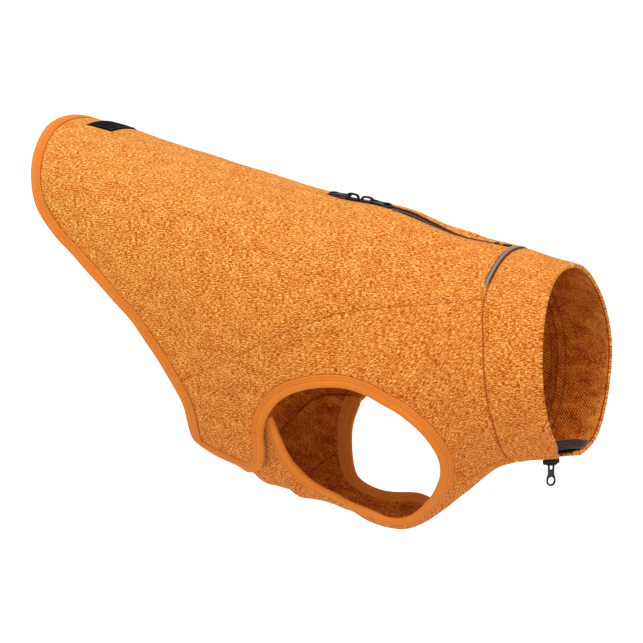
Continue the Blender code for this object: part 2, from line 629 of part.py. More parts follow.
    # label, piping, zips
    laid("label", label_grid, CLEAR + LABEL["thick"], LABEL["thick"], black, group)
    laid("collar_piping", pipe_grid, CLEAR + PIPING["thick"], PIPING["thick"], grey, group)
    zip_tape("leash_zip", tape_s, np.array(LEASH_SLOT), 0.0, -WALL - BIND_CLEAR, black, group)
    zip_tape("chest_zip", chest_tape_s, np.array(CHEST_SLIT), 1.0, -COLLAR_WALL - BIND_CLEAR,
             black, group)
    for word, station, along, points, tilt in LEASH_SLIDERS:
        frame = slider_frame(station, 0.0)
        slider("leash_slider_" + word, frame, metal, group, tools)
        turn = Matrix.Rotation(math.radians(tilt), 4, "Y")
        if points < 0:
            turn = Matrix.Rotation(math.pi, 4, "Z") @ turn
        pull("leash_pull_" + word, frame @ Matrix.Translation((along, 0, AXIS_UP)) @ turn,
             metal, group)
    frame = slider_frame(CHEST_STATION, 1.0)
    slider("chest_slider", frame, metal, group, tools)
    hinge = frame @ Matrix.Translation((0, 0, AXIS_UP))
    hang = Matrix.Rotation(math.pi / 2, 4, "Y")
    hang.translation = hinge.translation
    pull("chest_pull", hang, metal, group)


build()
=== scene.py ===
"""Pull-on dog sweater in heather knit fleece: how it looks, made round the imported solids.

Metres, +X towards the neck, +Y the dog's left, +Z up.  A place on the cloth is (station, round):
station runs from the tail (0) to the neck edge (1), round from the middle of the back (0) to the
middle of the belly (1), positive on the dog's right.
"""

import math

import bmesh
import bpy
import numpy as np
from mathutils import Matrix, Vector, kdtree
from mathutils.geometry import delaunay_2d_cdt

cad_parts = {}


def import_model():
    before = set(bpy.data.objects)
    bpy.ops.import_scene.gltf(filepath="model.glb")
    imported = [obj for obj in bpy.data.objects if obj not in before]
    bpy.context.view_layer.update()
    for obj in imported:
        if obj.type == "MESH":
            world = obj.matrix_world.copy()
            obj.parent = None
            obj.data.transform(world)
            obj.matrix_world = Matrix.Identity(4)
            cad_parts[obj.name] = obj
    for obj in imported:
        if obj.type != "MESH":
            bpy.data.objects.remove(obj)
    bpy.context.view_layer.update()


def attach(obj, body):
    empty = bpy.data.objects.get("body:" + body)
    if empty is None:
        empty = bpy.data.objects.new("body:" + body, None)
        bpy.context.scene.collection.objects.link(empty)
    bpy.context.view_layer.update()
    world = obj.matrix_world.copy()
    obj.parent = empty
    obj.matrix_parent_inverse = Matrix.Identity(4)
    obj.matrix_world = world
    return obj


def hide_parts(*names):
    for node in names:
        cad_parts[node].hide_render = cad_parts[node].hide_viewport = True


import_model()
MM = 0.001
MEASURED = 0.00001       # added to stored distances, so that 0 means none was stored

# ---------------------------------------------------------------- sizes (metres)
WALL = 0.0024            # knit fleece
COLLAR_WALL = 0.0028     # collar, with its turned edge
SEAM_GAP = 0.0003        # between two pieces at their seam
RAW_EDGE = 0.0013        # from the binding's fold to the cloth inside it
TUCK = -0.0064           # the belly panel lies this far inside, under the side tabs
TUCK_FROM, TUCK_TO = 0.69, 0.575     # stations between which it sinks
CLOTH_STEP = 0.0037      # spacing of the cloth's points
EDGE_STEP = 0.0026       # spacing along its edges
LENGTH, HALF_ROUND = 0.49, 0.30      # rough size of one station and one round, for spacing
ROUGH_SIZE = np.array([LENGTH, HALF_ROUND])
RAILS = (0.0012, 0.0026, 0.0046)     # rows of points kept beside each edge
CORNER, WIDE_CORNER = 7, 12          # millimetres each way over which corners are rounded
NECK_ROUND = 0.215       # rough size of one round at the collar seam
CALM_BACK, CALM_BELLY = 0.045, 0.016     # round each zip, where creases fade out
ZIP_LIP = 0.0011         # cloth turned under beside the leash zip

# The skin's sections: the points on the middle of the back and of the belly, the half width, how
# much fuller the section is above its middle, how square it is, and how far its sides bow forward.
SECTIONS = (
    # station, back_x, back_z, belly_x, belly_z, half_width, high, square, bow
    (0.00, -0.207, 0.0465, -0.207, -0.1325, 0.070, 0.10, 0.05, 0.000),
    (0.12, -0.150, 0.0385, -0.140, -0.1775, 0.080, 0.12, 0.05, 0.000),
    (0.28, -0.075, 0.0205, -0.057, -0.2245, 0.087, 0.13, 0.04, 0.000),
    (0.44, 0.000, 0.0025, 0.010, -0.2520, 0.087, 0.17, 0.03, 0.000),
    (0.58, 0.067, -0.0107, 0.073, -0.2695, 0.083, 0.18, 0.00, 0.000),
    (0.71, 0.130, -0.0209, 0.131, -0.2725, 0.080, 0.04, 0.05, 0.000),
    (0.83, 0.189, -0.0385, 0.181, -0.2405, 0.072, 0.00, 0.02, 0.002),
    (0.92, 0.233, -0.0435, 0.221, -0.2105, 0.067, 0.01, -0.02, 0.006),
    (1.00, 0.271, -0.0530, 0.279, -0.2000, 0.065, 0.01, 0.02, 0.003),
)
# Outlines on the dog's right, as (station, round), as the panels were cut.
HEM = ((0.038, 0.000), (0.041, 0.110), (0.050, 0.230), (0.056, 0.310), (0.068, 0.375),
       (0.088, 0.416), (0.118, 0.446), (0.192, 0.488), (0.262, 0.530), (0.304, 0.595),
       (0.325, 0.636))
TAB = ((0.325, 0.636), (0.338, 0.682), (0.329, 0.735), (0.312, 0.828), (0.342, 0.842),
       (0.386, 0.838), (0.424, 0.830), (0.446, 0.822), (0.462, 0.804), (0.476, 0.778),
       (0.489, 0.742), (0.497, 0.707), (0.502, 0.668))
ARMHOLE_TOP = ((0.502, 0.668), (0.513, 0.635), (0.530, 0.602), (0.556, 0.566), (0.592, 0.538),
               (0.635, 0.519), (0.682, 0.509), (0.727, 0.515), (0.781, 0.557), (0.820, 0.622),
               (0.841, 0.697), (0.844, 0.748), (0.838, 0.790), (0.819, 0.842), (0.796, 0.884))
ARMHOLE_LOW = ((0.796, 0.884), (0.765, 0.886), (0.739, 0.864), (0.714, 0.836), (0.688, 0.818),
               (0.650, 0.827), (0.613, 0.832), (0.580, 0.818), (0.554, 0.785), (0.538, 0.745),
               (0.529, 0.700), (0.522, 0.622))
BELLY_EDGE = ((0.522, 0.622), (0.472, 0.642), (0.440, 0.690), (0.414, 0.760), (0.394, 0.835),
              (0.385, 0.920), (0.383, 1.000))
PRINCESS = ((0.325, 0.636), (0.441, 0.541), (0.561, 0.439), (0.671, 0.366), (0.784, 0.317),
            (0.903, 0.291))
CHEST_SEAM = ((0.796, 0.884), (0.870, 0.890), (0.936, 0.885))
COLLAR_SEAM = (
    # round, station
    (0.00, 0.911), (0.15, 0.907), (0.29, 0.903), (0.41, 0.913), (0.50, 0.920),
    (0.60, 0.927), (0.70, 0.934), (0.87, 0.936), (1.00, 0.936))
# The cloth stands open over each zip.
LEASH_SLOT = (
    # station, half_width
    (0.566, 0.0016), (0.578, 0.0040), (0.594, 0.0050), (0.612, 0.0052), (0.634, 0.0052),
    (0.652, 0.0050), (0.672, 0.0044), (0.700, 0.0040), (0.740, 0.0036), (0.780, 0.0026),
    (0.820, 0.0014), (0.856, 0.0010), (0.888, 0.0009))
CHEST_SLIT = (
    # station, half_width
    (0.752, 0.0010), (0.776, 0.0011), (0.800, 0.0012), (0.825, 0.0012), (0.850, 0.0013),
    (0.875, 0.0013), (0.900, 0.0014), (0.920, 0.0016), (0.936, 0.0018),
    (0.950, 0.0040), (0.962, 0.0050), (0.976, 0.0050), (0.988, 0.0044), (1.000, 0.0036))
LABEL = dict(station=0.128, long=0.026, wide=0.038, thick=0.0008, lift=0.0002, rows=27,
             columns=39)
PIPING = dict(reach=0.275, wide=0.0030, high=0.0012, step=0.0018, off_seam=0.0006)
# Where the front of each tab is sewn to the belly panel, as (station, round).
TAB_HELD = ((0.484, 0.941), (0.489, 0.860), (0.496, 0.814), (0.513, 0.766), (0.522, 0.741))

# Creases: soft ridges and troughs from one place to another, with their own width and height.
CREASES_RIGHT = (
    # from_station, from_round, to_station, to_round, half_width_mm, high_mm, bow_mm
    (0.690, 0.500, 0.790, 0.365, 10.0, 1.9, 5.0),
    (0.545, 0.475, 0.705, 0.385, 6.5, -1.3, 2.0),
    (0.424, 0.402, 0.665, 0.338, 1.7, 0.55, -6.0),
    (0.903, 0.480, 0.909, 0.605, 2.0, 0.8, 0.0),
    (0.904, 0.525, 0.921, 0.775, 1.8, 0.9, 2.0),
    (0.780, 0.520, 0.880, 0.690, 9.0, -1.0, -4.0),
    (0.400, 0.600, 0.470, 0.690, 5.0, 0.9, 2.0),
    (0.130, 0.330, 0.245, 0.455, 8.0, -0.9, 3.0),
    (0.085, 0.300, 0.140, 0.180, 7.0, 0.7, 2.0),
    (0.940, 0.300, 0.990, 0.420, 5.0, 0.6, 0.0),
    (0.945, 0.620, 0.992, 0.560, 5.0, -0.7, 1.0),
    (0.440, 0.800, 0.446, 1.000, 8.0, 2.4, 1.0),
    (0.485, 0.820, 0.490, 0.990, 4.5, -2.0, 0.0),
    (0.508, 0.830, 0.506, 1.000, 6.0, 1.5, -1.0),
    (0.545, 0.850, 0.549, 0.990, 4.0, -1.6, 0.0),
    (0.585, 0.870, 0.590, 1.000, 8.0, 1.5, 0.0),
    (0.660, 0.850, 0.720, 0.930, 5.5, -0.8, 0.0),
)
CREASES_LEFT = (
    # from_station, from_round, to_station, to_round, half_width_mm, high_mm, bow_mm
    (0.700, -0.490, 0.810, -0.370, 11.0, 1.7, -4.0),
    (0.560, -0.465, 0.690, -0.400, 7.0, -1.1, -2.0),
    (0.440, -0.398, 0.650, -0.345, 1.7, 0.5, 5.0),
    (0.904, -0.500, 0.912, -0.640, 1.9, 0.8, 0.0),
    (0.905, -0.560, 0.924, -0.740, 1.7, 0.7, -2.0),
    (0.790, -0.540, 0.870, -0.700, 8.0, -1.2, 4.0),
    (0.380, -0.620, 0.455, -0.700, 6.0, 0.8, -2.0),
    (0.150, -0.320, 0.270, -0.440, 9.0, -0.8, -3.0),
    (0.250, -0.180, 0.420, -0.250, 12.0, 0.7, 4.0),
    (0.945, -0.330, 0.990, -0.450, 5.0, 0.7, 0.0),
    (0.930, -0.505, 0.995, -0.550, 2.6, 1.1, 1.0),
    (0.935, -0.590, 0.985, -0.690, 4.5, 0.9, -1.5),
    (0.950, -0.700, 0.990, -0.820, 3.5, -0.7, 1.0),
    (0.460, -0.790, 0.466, -0.990, 7.0, 1.3, 1.5),
    (0.492, -0.810, 0.500, -0.980, 4.0, -1.2, 0.0),
    (0.526, -0.840, 0.520, -0.990, 7.5, 1.4, 1.0),
    (0.580, -0.860, 0.590, -0.980, 4.5, -0.9, 0.0),
    (0.650, -0.860, 0.730, -0.925, 6.0, -0.8, 0.0),
)
# How the cloth stands beside the leash zip: near side, coil, far edge and the ridge beyond it.
ZIP_STANDS = (
    # station, near_mm, coil_mm, far_edge_mm, far_ridge_mm
    (0.560, 0.0, 0.0, 0.0, 0.0), (0.600, -0.2, 0.0, 0.2, 0.6), (0.640, 0.7, 0.5, 1.0, 1.6),
    (0.660, 1.0, 0.9, 1.7, 2.3), (0.680, 0.7, 0.9, 2.0, 2.4), (0.700, 0.0, 0.6, 2.0, 2.6),
    (0.720, -0.8, 0.3, 1.9, 2.5), (0.740, -1.0, -0.1, 1.2, 2.0), (0.760, -1.0, -0.4, 0.7, 2.0),
    (0.780, -0.9, -0.7, 0.6, 2.6), (0.800, -0.8, -0.6, 0.7, 3.9), (0.820, -0.4, -0.2, 1.1, 4.2),
    (0.840, -0.1, 0.1, 1.4, 3.0), (0.860, 0.0, 0.2, 1.5, 2.0), (0.880, 0.0, 0.1, 1.2, 1.6),
    (0.907, 0.0, 0.0, 0.0, 0.0))
ZIP_ASIDE_MM = (-26.0, -15.0, -8.0, -3.6, 0.0, 3.0, 8.0, 20.0)
# Places that the cloth has been pulled along, so that the two sides don't hang alike.
PULLED = (
    # station, round, reach_station, reach_round, move_station, move_round
    (0.545, -0.735, 0.055, 0.120, 0.018, 0.000),
    (0.775, -0.862, 0.055, 0.055, 0.000, 0.020),
    (0.650, -0.862, 0.045, 0.055, 0.000, -0.012),
    (0.530, -0.615, 0.058, 0.052, 0.024, 0.000),
    (1.005, 0.975, 0.028, 0.110, -0.011, -0.062),
    (1.005, -0.975, 0.028, 0.085, 0.000, 0.016),
)
# Broad rises and hollows: where the neck flares, the belly fills out and the back lies flatter.
BUMPS = (
    # station, round, reach_station, reach_round, high_mm
    (1.000, -0.130, 0.045, 0.170, 0.9), (1.000, -0.450, 0.060, 0.160, 1.6),
    (1.000, -0.800, 0.050, 0.110, 3.0), (0.955, -0.060, 0.030, 0.130, -0.9),
    (0.205, -0.130, 0.070, 0.130, -2.4), (0.440, 0.940, 0.040, 0.090, 1.6),
    (0.560, 0.950, 0.045, 0.070, -2.0), (0.640, 0.900, 0.050, 0.070, -1.6),
    (0.900, 0.930, 0.040, 0.080, 1.8),
)
# Slow swells that keep the cloth from lying like a board.
SWELLS = (
    # wave_along_mm, wave_round_mm, phase, high_mm
    (118.0, 171.0, 0.4, 0.55), (-83.0, 96.0, 2.1, 0.40), (61.0, -143.0, 4.4, 0.32),
    (47.0, 58.0, 1.2, 0.18), (-39.0, 71.0, 5.3, 0.14),
)
# Height of the binding above the cloth's face, from the cloth side over the fold to the inside.
BINDING_SHAPE = (
    # from_fold_mm, high_mm
    (10.5, -0.35), (10.4, 0.25), (10.0, 0.62), (9.4, 0.72), (8.95, 0.62), (8.6, 0.36),
    (8.25, 0.62), (7.7, 0.80), (7.1, 0.84), (6.65, 0.72), (6.3, 0.44), (5.95, 0.74), (5.3, 0.96),
    (4.2, 1.12), (2.8, 1.16), (1.6, 1.04), (0.75, 0.66), (0.22, 0.02), (0.0, -0.75),
    (0.0, -1.70), (0.25, -2.45), (0.8, -3.08), (1.7, -3.42), (3.2, -3.55), (5.0, -3.45),
    (5.95, -3.22), (6.3, -2.98), (6.65, -3.22), (8.25, -3.18), (8.6, -2.92), (8.95, -3.18),
    (9.8, -3.22), (10.35, -2.85), (10.4, -2.55),
)
BINDING_INSIDE = (
    # from_fold_mm, high_mm
    (9.9, -2.62), (7.0, -2.72), (4.0, -2.92), (1.9, -2.85), (0.85, -2.35), (0.58, -1.30),
    (0.85, -0.25), (1.9, 0.45), (4.0, 0.50), (7.0, 0.02), (9.9, -0.10))
BINDING_STITCHES = ((8.6, 0.36), (6.3, 0.44))      # from_fold_mm, high_mm of each row's groove
BINDING_STITCH_OVER = 0.16           # mm of the thread above its groove
BINDING_STITCH_INSIDE = -3.14        # high_mm of the same threads inside
STITCH = dict(pitch=0.0030, long=0.0027, radius=0.00021)


# ---------------------------------------------------------------- the skin
def monotone(rows, x):
    """Smooth interpolation through a table's rows that adds no wiggle between them."""
    rows = np.array(rows, float)
    xs, ys = rows[:, 0], rows[:, 1:]
    h = np.diff(xs)[:, None]
    slope = np.diff(ys, axis=0) / h
    w1, w2 = 2 * h[1:] + h[:-1], h[1:] + 2 * h[:-1]
    same = slope[:-1] * slope[1:] > 0
    safe = np.where(same, slope[:-1], 1.0), np.where(same, slope[1:], 1.0)
    mid = np.where(same, (w1 + w2) / (w1 / safe[0] + w2 / safe[1]), 0.0)
    m = np.vstack([slope[:1], mid, slope[-1:]])
    x = np.asarray(x, float)
    i = np.clip(np.searchsorted(xs, x, side="right") - 1, 0, len(xs) - 2)
    t = ((x - xs[i]) / (xs[i + 1] - xs[i]))[..., None]
    hi = h[i]
    return ((1 + 2 * t) * (1 - t) ** 2 * ys[i] + t * (1 - t) ** 2 * hi * m[i]
            + t * t * (3 - 2 * t) * ys[i + 1] + t * t * (t - 1) * hi * m[i + 1])


def place(s, r):
    """Point of the skin at (station, round)."""
    s, r = np.broadcast_arrays(np.asarray(s, float), np.asarray(r, float))
    c = monotone(SECTIONS, s)
    back_x, back_z, belly_x, belly_z, half, high, square, bow = np.moveaxis(c, -1, 0)
    a = math.pi * r
    t = (1 - np.cos(a)) / 2
    y = half * (np.sin(a) + high * np.sin(2 * a) + square * np.sin(3 * a))
    x = back_x + (belly_x - back_x) * t + bow * np.sin(a) ** 2
    return np.stack([x, -y, back_z + (belly_z - back_z) * t], axis=-1)


def axes(s, r):
    """Change of place with station and with round, and the outward normal."""
    e = 1e-4
    along = (place(s + e, r) - place(s - e, r)) / (2 * e)
    across = (place(s, r + e) - place(s, r - e)) / (2 * e)
    normal = np.cross(across, along)
    return along, across, normal / np.linalg.norm(normal, axis=-1, keepdims=True)


def slide(sr, move):
    """(station, round) after a small move in space, kept on the skin."""
    along, across, _ = axes(sr[:, 0], sr[:, 1])
    aa, ab, bb = (along * along).sum(1), (along * across).sum(1), (across * across).sum(1)
    ma, mb = (along * move).sum(1), (across * move).sum(1)
    det = aa * bb - ab * ab
    return sr + np.stack([(ma * bb - mb * ab) / det, (mb * aa - ma * ab) / det], axis=1)


def belly_lift(sr):
    """How far the belly panel has sunk inside the skin."""
    t = np.clip((TUCK_FROM - sr[..., 0]) / (TUCK_FROM - TUCK_TO), 0, 1)
    return TUCK * t * t * (3 - 2 * t)


def mirror(sr, centre=0.0):
    """The same outline on the other side of the middle line at round = centre."""
    return np.stack([sr[..., 0], 2 * centre - sr[..., 1]], axis=-1)


def measured_grid():
    """Metres along the skin and metres round it, at even stations and rounds."""
    s, r = np.linspace(-0.02, 1.02, 105), np.linspace(0, 1, 81)
    p = place(s[:, None], r[None, :])
    along = np.linalg.norm(np.diff(p, axis=0), axis=-1)
    round_ = np.linalg.norm(np.diff(p, axis=1), axis=-1)
    u = np.vstack([np.zeros((1, len(r))), np.cumsum(along, axis=0)])
    v = np.hstack([np.zeros((len(s), 1)), np.cumsum(round_, axis=1)])
    return s, r, u, v


GRID_S, GRID_R, GRID_U, GRID_V = measured_grid()


def between(values, s, r):
    """A value of the measured grid at (station, round)."""
    x = np.clip((s - GRID_S[0]) / (GRID_S[1] - GRID_S[0]), 0, len(GRID_S) - 1.001)
    y = np.clip((r - GRID_R[0]) / (GRID_R[1] - GRID_R[0]), 0, len(GRID_R) - 1.001)
    i, j = x.astype(int), y.astype(int)
    fx, fy = x - i, y - j
    return (values[i, j] * (1 - fx) * (1 - fy) + values[i + 1, j] * fx * (1 - fy)
            + values[i, j + 1] * (1 - fx) * fy + values[i + 1, j + 1] * fx * fy)


def round_from_back(s, r):
    """Metres round the skin from the middle of the back, past the belly too."""
    turn = np.round(r / 2)
    r = r - 2 * turn
    whole = between(GRID_V, s, np.ones_like(s))
    return between(GRID_V, s, np.abs(r)) * np.sign(r) + 2 * turn * whole


def flat(sr, centre=0.0):
    """Metres along the cloth, and metres round it from the line at round = centre."""
    s, r = sr[..., 0], sr[..., 1]
    folded = np.abs(r - 2 * np.round(r / 2))
    return np.stack([between(GRID_U, s, folded),
                     round_from_back(s, r) - round_from_back(s, np.full_like(s, centre))], axis=-1)


def smooth_step(x):
    """Eases from 0 to 1 as x runs from 0 to 1."""
    x = np.clip(x, 0, 1)
    return x * x * (3 - 2 * x)


def crease(sr, row):
    """Height of one soft ridge or trough that fades out at both ends."""
    centre = (row[1] + row[3]) / 2
    uv, ends = flat(sr, centre), flat(np.array([row[0:2], row[2:4]], float), centre)
    half, high, bow = (x * MM for x in row[4:7])
    line = ends[1] - ends[0]
    long = np.linalg.norm(line)
    t = ((uv - ends[0]) @ line) / long ** 2
    off = ((uv - ends[0]) @ np.array([-line[1], line[0]])) / long
    off = off - bow * 4 * t * (1 - t)
    fade = smooth_step(t / 0.3 + 0.25) * smooth_step((1 - t) / 0.35 + 0.25)
    return high * np.exp(-(off / half) ** 2) * fade


def relief(sr):
    """Height of creases and swells, and of the cloth that stands up beside the leash zip."""
    sr = np.asarray(sr, float)
    here = np.stack([sr[..., 0], sr[..., 1] - 2 * np.round(sr[..., 1] / 2)], axis=-1)
    high = np.zeros(here.shape[:-1])
    for row in CREASES_RIGHT:
        high = high + np.where(here[..., 1] >= 0, crease(here, row), 0)
    for row in CREASES_LEFT:
        high = high + np.where(here[..., 1] < 0, crease(here, row), 0)
    uv = flat(here)
    wide = between(GRID_V, here[..., 0], np.ones_like(uv[..., 0]))
    for along, around, phase, tall in SWELLS:
        turn = uv[..., 0] / (along * MM) + np.abs(uv[..., 1]) / (around * MM)
        high = high + tall * MM * np.sin(2 * math.pi * turn + phase + 0.9 * (here[..., 1] < 0))
    near_back = np.exp(-(uv[..., 1] / CALM_BACK) ** 2)
    near_belly = np.exp(-((wide - np.abs(uv[..., 1])) / CALM_BELLY) ** 2)
    near_belly = near_belly * smooth_step((here[..., 0] - 0.62) / 0.08)
    high = high * (1 - near_back) * (1 - near_belly)
    for station, around, reach_s, reach_r, tall in BUMPS:
        off_r = (here[..., 1] - around + 1) % 2 - 1
        high = high + tall * MM * np.exp(-((here[..., 0] - station) / reach_s) ** 2
                                         - (off_r / reach_r) ** 2)
    stand = monotone(ZIP_STANDS, np.clip(here[..., 0], ZIP_STANDS[0][0], ZIP_STANDS[-1][0]))
    zero = np.zeros_like(stand[..., 0])
    near, mid, far, ridge = np.moveaxis(stand, -1, 0)
    levels = np.stack([zero, 0.72 * ridge, ridge, far, mid, near, 0.55 * near, zero], axis=-1)
    knots = np.array(ZIP_ASIDE_MM) * MM
    v = np.clip(uv[..., 1], knots[0], knots[-1] - 1e-9)
    i = np.clip(np.searchsorted(knots, v, side="right") - 1, 0, len(knots) - 2)
    t = smooth_step((v - knots[i]) / (knots[i + 1] - knots[i]))[..., None]
    pair = np.take_along_axis(levels, np.stack([i, i + 1], axis=-1), axis=-1)
    return high + MM * (pair[..., :1] * (1 - t) + pair[..., 1:] * t)[..., 0]


def pulled(sr):
    """Where a place of the cloth has moved to."""
    sr = np.asarray(sr, float)
    s, r = sr[..., 0], sr[..., 1] - 2 * np.round(sr[..., 1] / 2)
    out = sr.copy()
    for row in PULLED:
        near = np.exp(-((s - row[0]) / row[2]) ** 2 - ((r - row[1]) / row[3]) ** 2)
        out = out + near[..., None] * np.array(row[4:6])
    return out


def surface(sr, lift=0.0):
    """Points on the creased cloth, moved out by lift along the skin's normal."""
    up = np.asarray(lift) + relief(sr)
    at = pulled(sr)
    s, r = at[..., 0], at[..., 1]
    return place(s, r) + axes(s, r)[2] * up[..., None]


# ---------------------------------------------------------------- outlines
def dense(rows):
    """Table rows as a chain of points about a millimetre apart."""
    rows = np.array(rows, float)
    out = [rows[:1]]
    for a, b in zip(rows[:-1], rows[1:]):
        n = max(2, int(np.linalg.norm(place(*b) - place(*a)) / MM))
        out.append(a + (b - a) * np.linspace(0, 1, n + 1)[1:, None])
    return np.vstack(out)


def soften(chain, reach):
    """Rounds a chain's corners; its ends stay where they are."""
    n = reach
    for _ in range(2):
        head = 2 * chain[:1] - chain[n:0:-1]
        tail = 2 * chain[-1:] - chain[-2:-n - 2:-1]
        padded = np.vstack([head, chain, tail])
        total = np.vstack([np.zeros((1, 2)), np.cumsum(padded, axis=0)])
        chain = (total[2 * n + 1:] - total[:-2 * n - 1]) / (2 * n + 1)
    return chain


def paced(chain, step):
    """Points along a chain, step apart."""
    p = place(chain[:, 0], chain[:, 1])
    along = np.concatenate([[0], np.cumsum(np.linalg.norm(np.diff(p, axis=0), axis=1))])
    n = max(2, int(round(along[-1] / step)))
    want = np.linspace(0, along[-1], n + 1)
    return np.stack([np.interp(want, along, chain[:, i]) for i in (0, 1)], axis=1)


def inward(chain, side=1.0):
    """Unit direction in the skin, square to a chain, into the cloth beside it."""
    p = place(chain[:, 0], chain[:, 1])
    w = np.cross(axes(chain[:, 0], chain[:, 1])[2], np.gradient(p, axis=0)) * side
    return w / np.linalg.norm(w, axis=1, keepdims=True)


def pull_in(loop, near):
    """A closed outline moved inwards; near holds the distance for the edge after each point."""
    p = place(loop[:, 0], loop[:, 1])
    normal = axes(loop[:, 0], loop[:, 1])[2]
    turn = 1.0 if np.cross(loop, np.roll(loop, -1, axis=0)).sum() < 0 else -1.0
    after = np.roll(p, -1, axis=0) - p
    ways = np.cross(normal, after) * turn
    ways /= np.linalg.norm(ways, axis=1, keepdims=True)
    last, last_near = np.roll(ways, 1, axis=0), np.roll(near, 1)
    cosine = (ways * last).sum(1, keepdims=True)
    mean = (ways + last) / (1 + np.maximum(cosine, 0.2))
    return slide(loop, mean * np.maximum(near, last_near)[:, None])


def ring(*parts):
    """Joins (chain, distance) parts into a closed outline, moved in by each part's distance."""
    loop = np.vstack([chain[:-1] for chain, _ in parts])
    near = np.concatenate([np.full(len(chain) - 1, d) for chain, d in parts])
    return pull_in(loop, near)


def seam_line(rows, reach=CORNER):
    """A seam from its table, with rounded corners and even points."""
    return paced(soften(dense(rows), reach), EDGE_STEP)


def collar_line(*ends):
    """The collar seam between rounds, with the same points for both of its pieces."""
    rounds = [np.array(ends[:1], float)]
    for start, end in zip(ends[:-1], ends[1:]):
        n = max(1, int(round(abs(end - start) * NECK_ROUND / EDGE_STEP)))
        rounds.append(np.linspace(start, end, n + 1)[1:])
    r = np.concatenate(rounds)
    return np.stack([monotone(COLLAR_SEAM, np.abs(r))[..., 0], r], axis=1)


def across(stations, offset, centre):
    """Places offset metres to the side of the middle line, at each station."""
    s = np.asarray(stations, float)
    width = np.linalg.norm(axes(s, np.full_like(s, centre))[1], axis=1)
    return np.stack([s, centre + np.asarray(offset) / width], axis=1)


def opening(table, centre, sign, start=0.0, end=2.0):
    """One side of a zip's opening, between two stations."""
    rows = np.array(table)
    start, end = max(start, rows[0, 0]), min(end, rows[-1, 0])
    s = np.linspace(start, end, max(2, int((end - start) * LENGTH / EDGE_STEP) + 1))
    return across(s, sign * monotone(table, s)[..., 0], centre)


def edges_of_cloth():
    """The bound edge as one soft chain, split where the panels meet."""
    parts = [HEM, TAB, ARMHOLE_TOP, ARMHOLE_LOW]
    rows = list(HEM) + [row for part in parts[1:] for row in part[1:]]
    chain = soften(dense(rows), CORNER)
    cuts, at = [0], 0
    for part in parts[:-1]:
        end = np.array(part[-1])
        gap = np.linalg.norm(place(chain[at:, 0], chain[at:, 1]) - place(*end), axis=1)
        at += int(np.argmin(gap))
        cuts.append(at)
    cuts.append(len(chain) - 1)
    pieces = [paced(chain[a:b + 1], EDGE_STEP) for a, b in zip(cuts[:-1], cuts[1:])]
    way = inward(np.vstack([pieces[0]] + [p[1:] for p in pieces[1:]]))
    out, start = [], 0
    for p in pieces:
        out.append(dict(edge=p, raw=slide(p, way[start:start + len(p)] * RAW_EDGE)))
        start += len(p) - 1
    return out


# ---------------------------------------------------------------- meshes
def tree_of(points):
    """Search tree of points in space."""
    tree = kdtree.KDTree(len(points))
    for i, p in enumerate(points):
        tree.insert(p, i)
    tree.balance()
    return tree


def distance(tree, points):
    """Metres from each point to the nearest of a tree's points."""
    return np.array([tree.find(p)[2] for p in points])


def inside(points, loop):
    """Which points lie inside a closed outline."""
    a, b = loop, np.roll(loop, -1, axis=0)
    rise = np.where(b[:, 1] == a[:, 1], 1.0, b[:, 1] - a[:, 1])
    found = []
    for part in np.array_split(points, max(1, len(points) // 2000)):
        x, y = part[:, 0:1], part[:, 1:2]
        crosses = (a[:, 1] > y) != (b[:, 1] > y)
        at = (b[:, 0] - a[:, 0]) * (y - a[:, 1]) / rise + a[:, 0]
        found.append((crosses & (x < at)).sum(1) % 2 == 1)
    return np.concatenate(found)


def in_cloth(points, loops):
    """Which points lie inside the first outline and outside the others, its holes."""
    keep = inside(points, loops[0])
    for hole in loops[1:]:
        keep &= ~inside(points, hole)
    return keep


def rails(loops):
    """Rows of points beside the edges, where the cloth rolls into a seam or a binding."""
    edge = tree_of([(x, y, 0) for loop in loops for x, y in loop * ROUGH_SIZE])
    out = []
    for dist in RAILS:
        for i, loop in enumerate(loops):
            row = pull_in(loop, np.full(len(loop), dist if i == 0 else -dist))
            out.append(row[in_cloth(row, loops)])
    rows, kept = [], []
    for row, dist in zip(out, np.repeat(RAILS, len(loops))):
        for p in row:
            q = p * ROUGH_SIZE
            if edge.find((q[0], q[1], 0))[2] < 0.7 * dist:
                continue
            if kept and min(abs(q[0] - k[0]) + abs(q[1] - k[1]) for k in kept[-3:]) < 0.0012:
                continue
            kept.append(q)
            rows.append(p)
    return np.array(rows)


def fill(loops, marks, spacing):
    """Even points inside the outlines, clear of the edges and of the marks."""
    scaled = [loop * ROUGH_SIZE for loop in loops]
    low, high = scaled[0].min(0), scaled[0].max(0)
    middle, count = (low[1] + high[1]) / 2, int((high[1] - low[1]) / spacing)
    xs = np.arange(low[0] + spacing / 2, high[0], spacing)
    grid = np.array([(x + (spacing / 2 if j % 2 else 0), middle + j * spacing * 0.866)
                     for j in range(-count, count + 1) for x in xs])
    grid = grid[in_cloth(grid, scaled)]
    known = scaled + [m * ROUGH_SIZE for m in marks]
    fixed = tree_of([(x, y, 0) for part in known for x, y in part])
    return grid[distance(fixed, [(x, y, 0) for x, y in grid]) > spacing * 0.62] / ROUGH_SIZE


def rim(faces):
    """Edges that only one triangle uses, in the triangles' own direction."""
    pairs = np.vstack([faces[:, [0, 1]], faces[:, [1, 2]], faces[:, [2, 0]]])
    keys = {tuple(p) for p in pairs.tolist()}
    return [p for p in keys if (p[1], p[0]) not in keys]


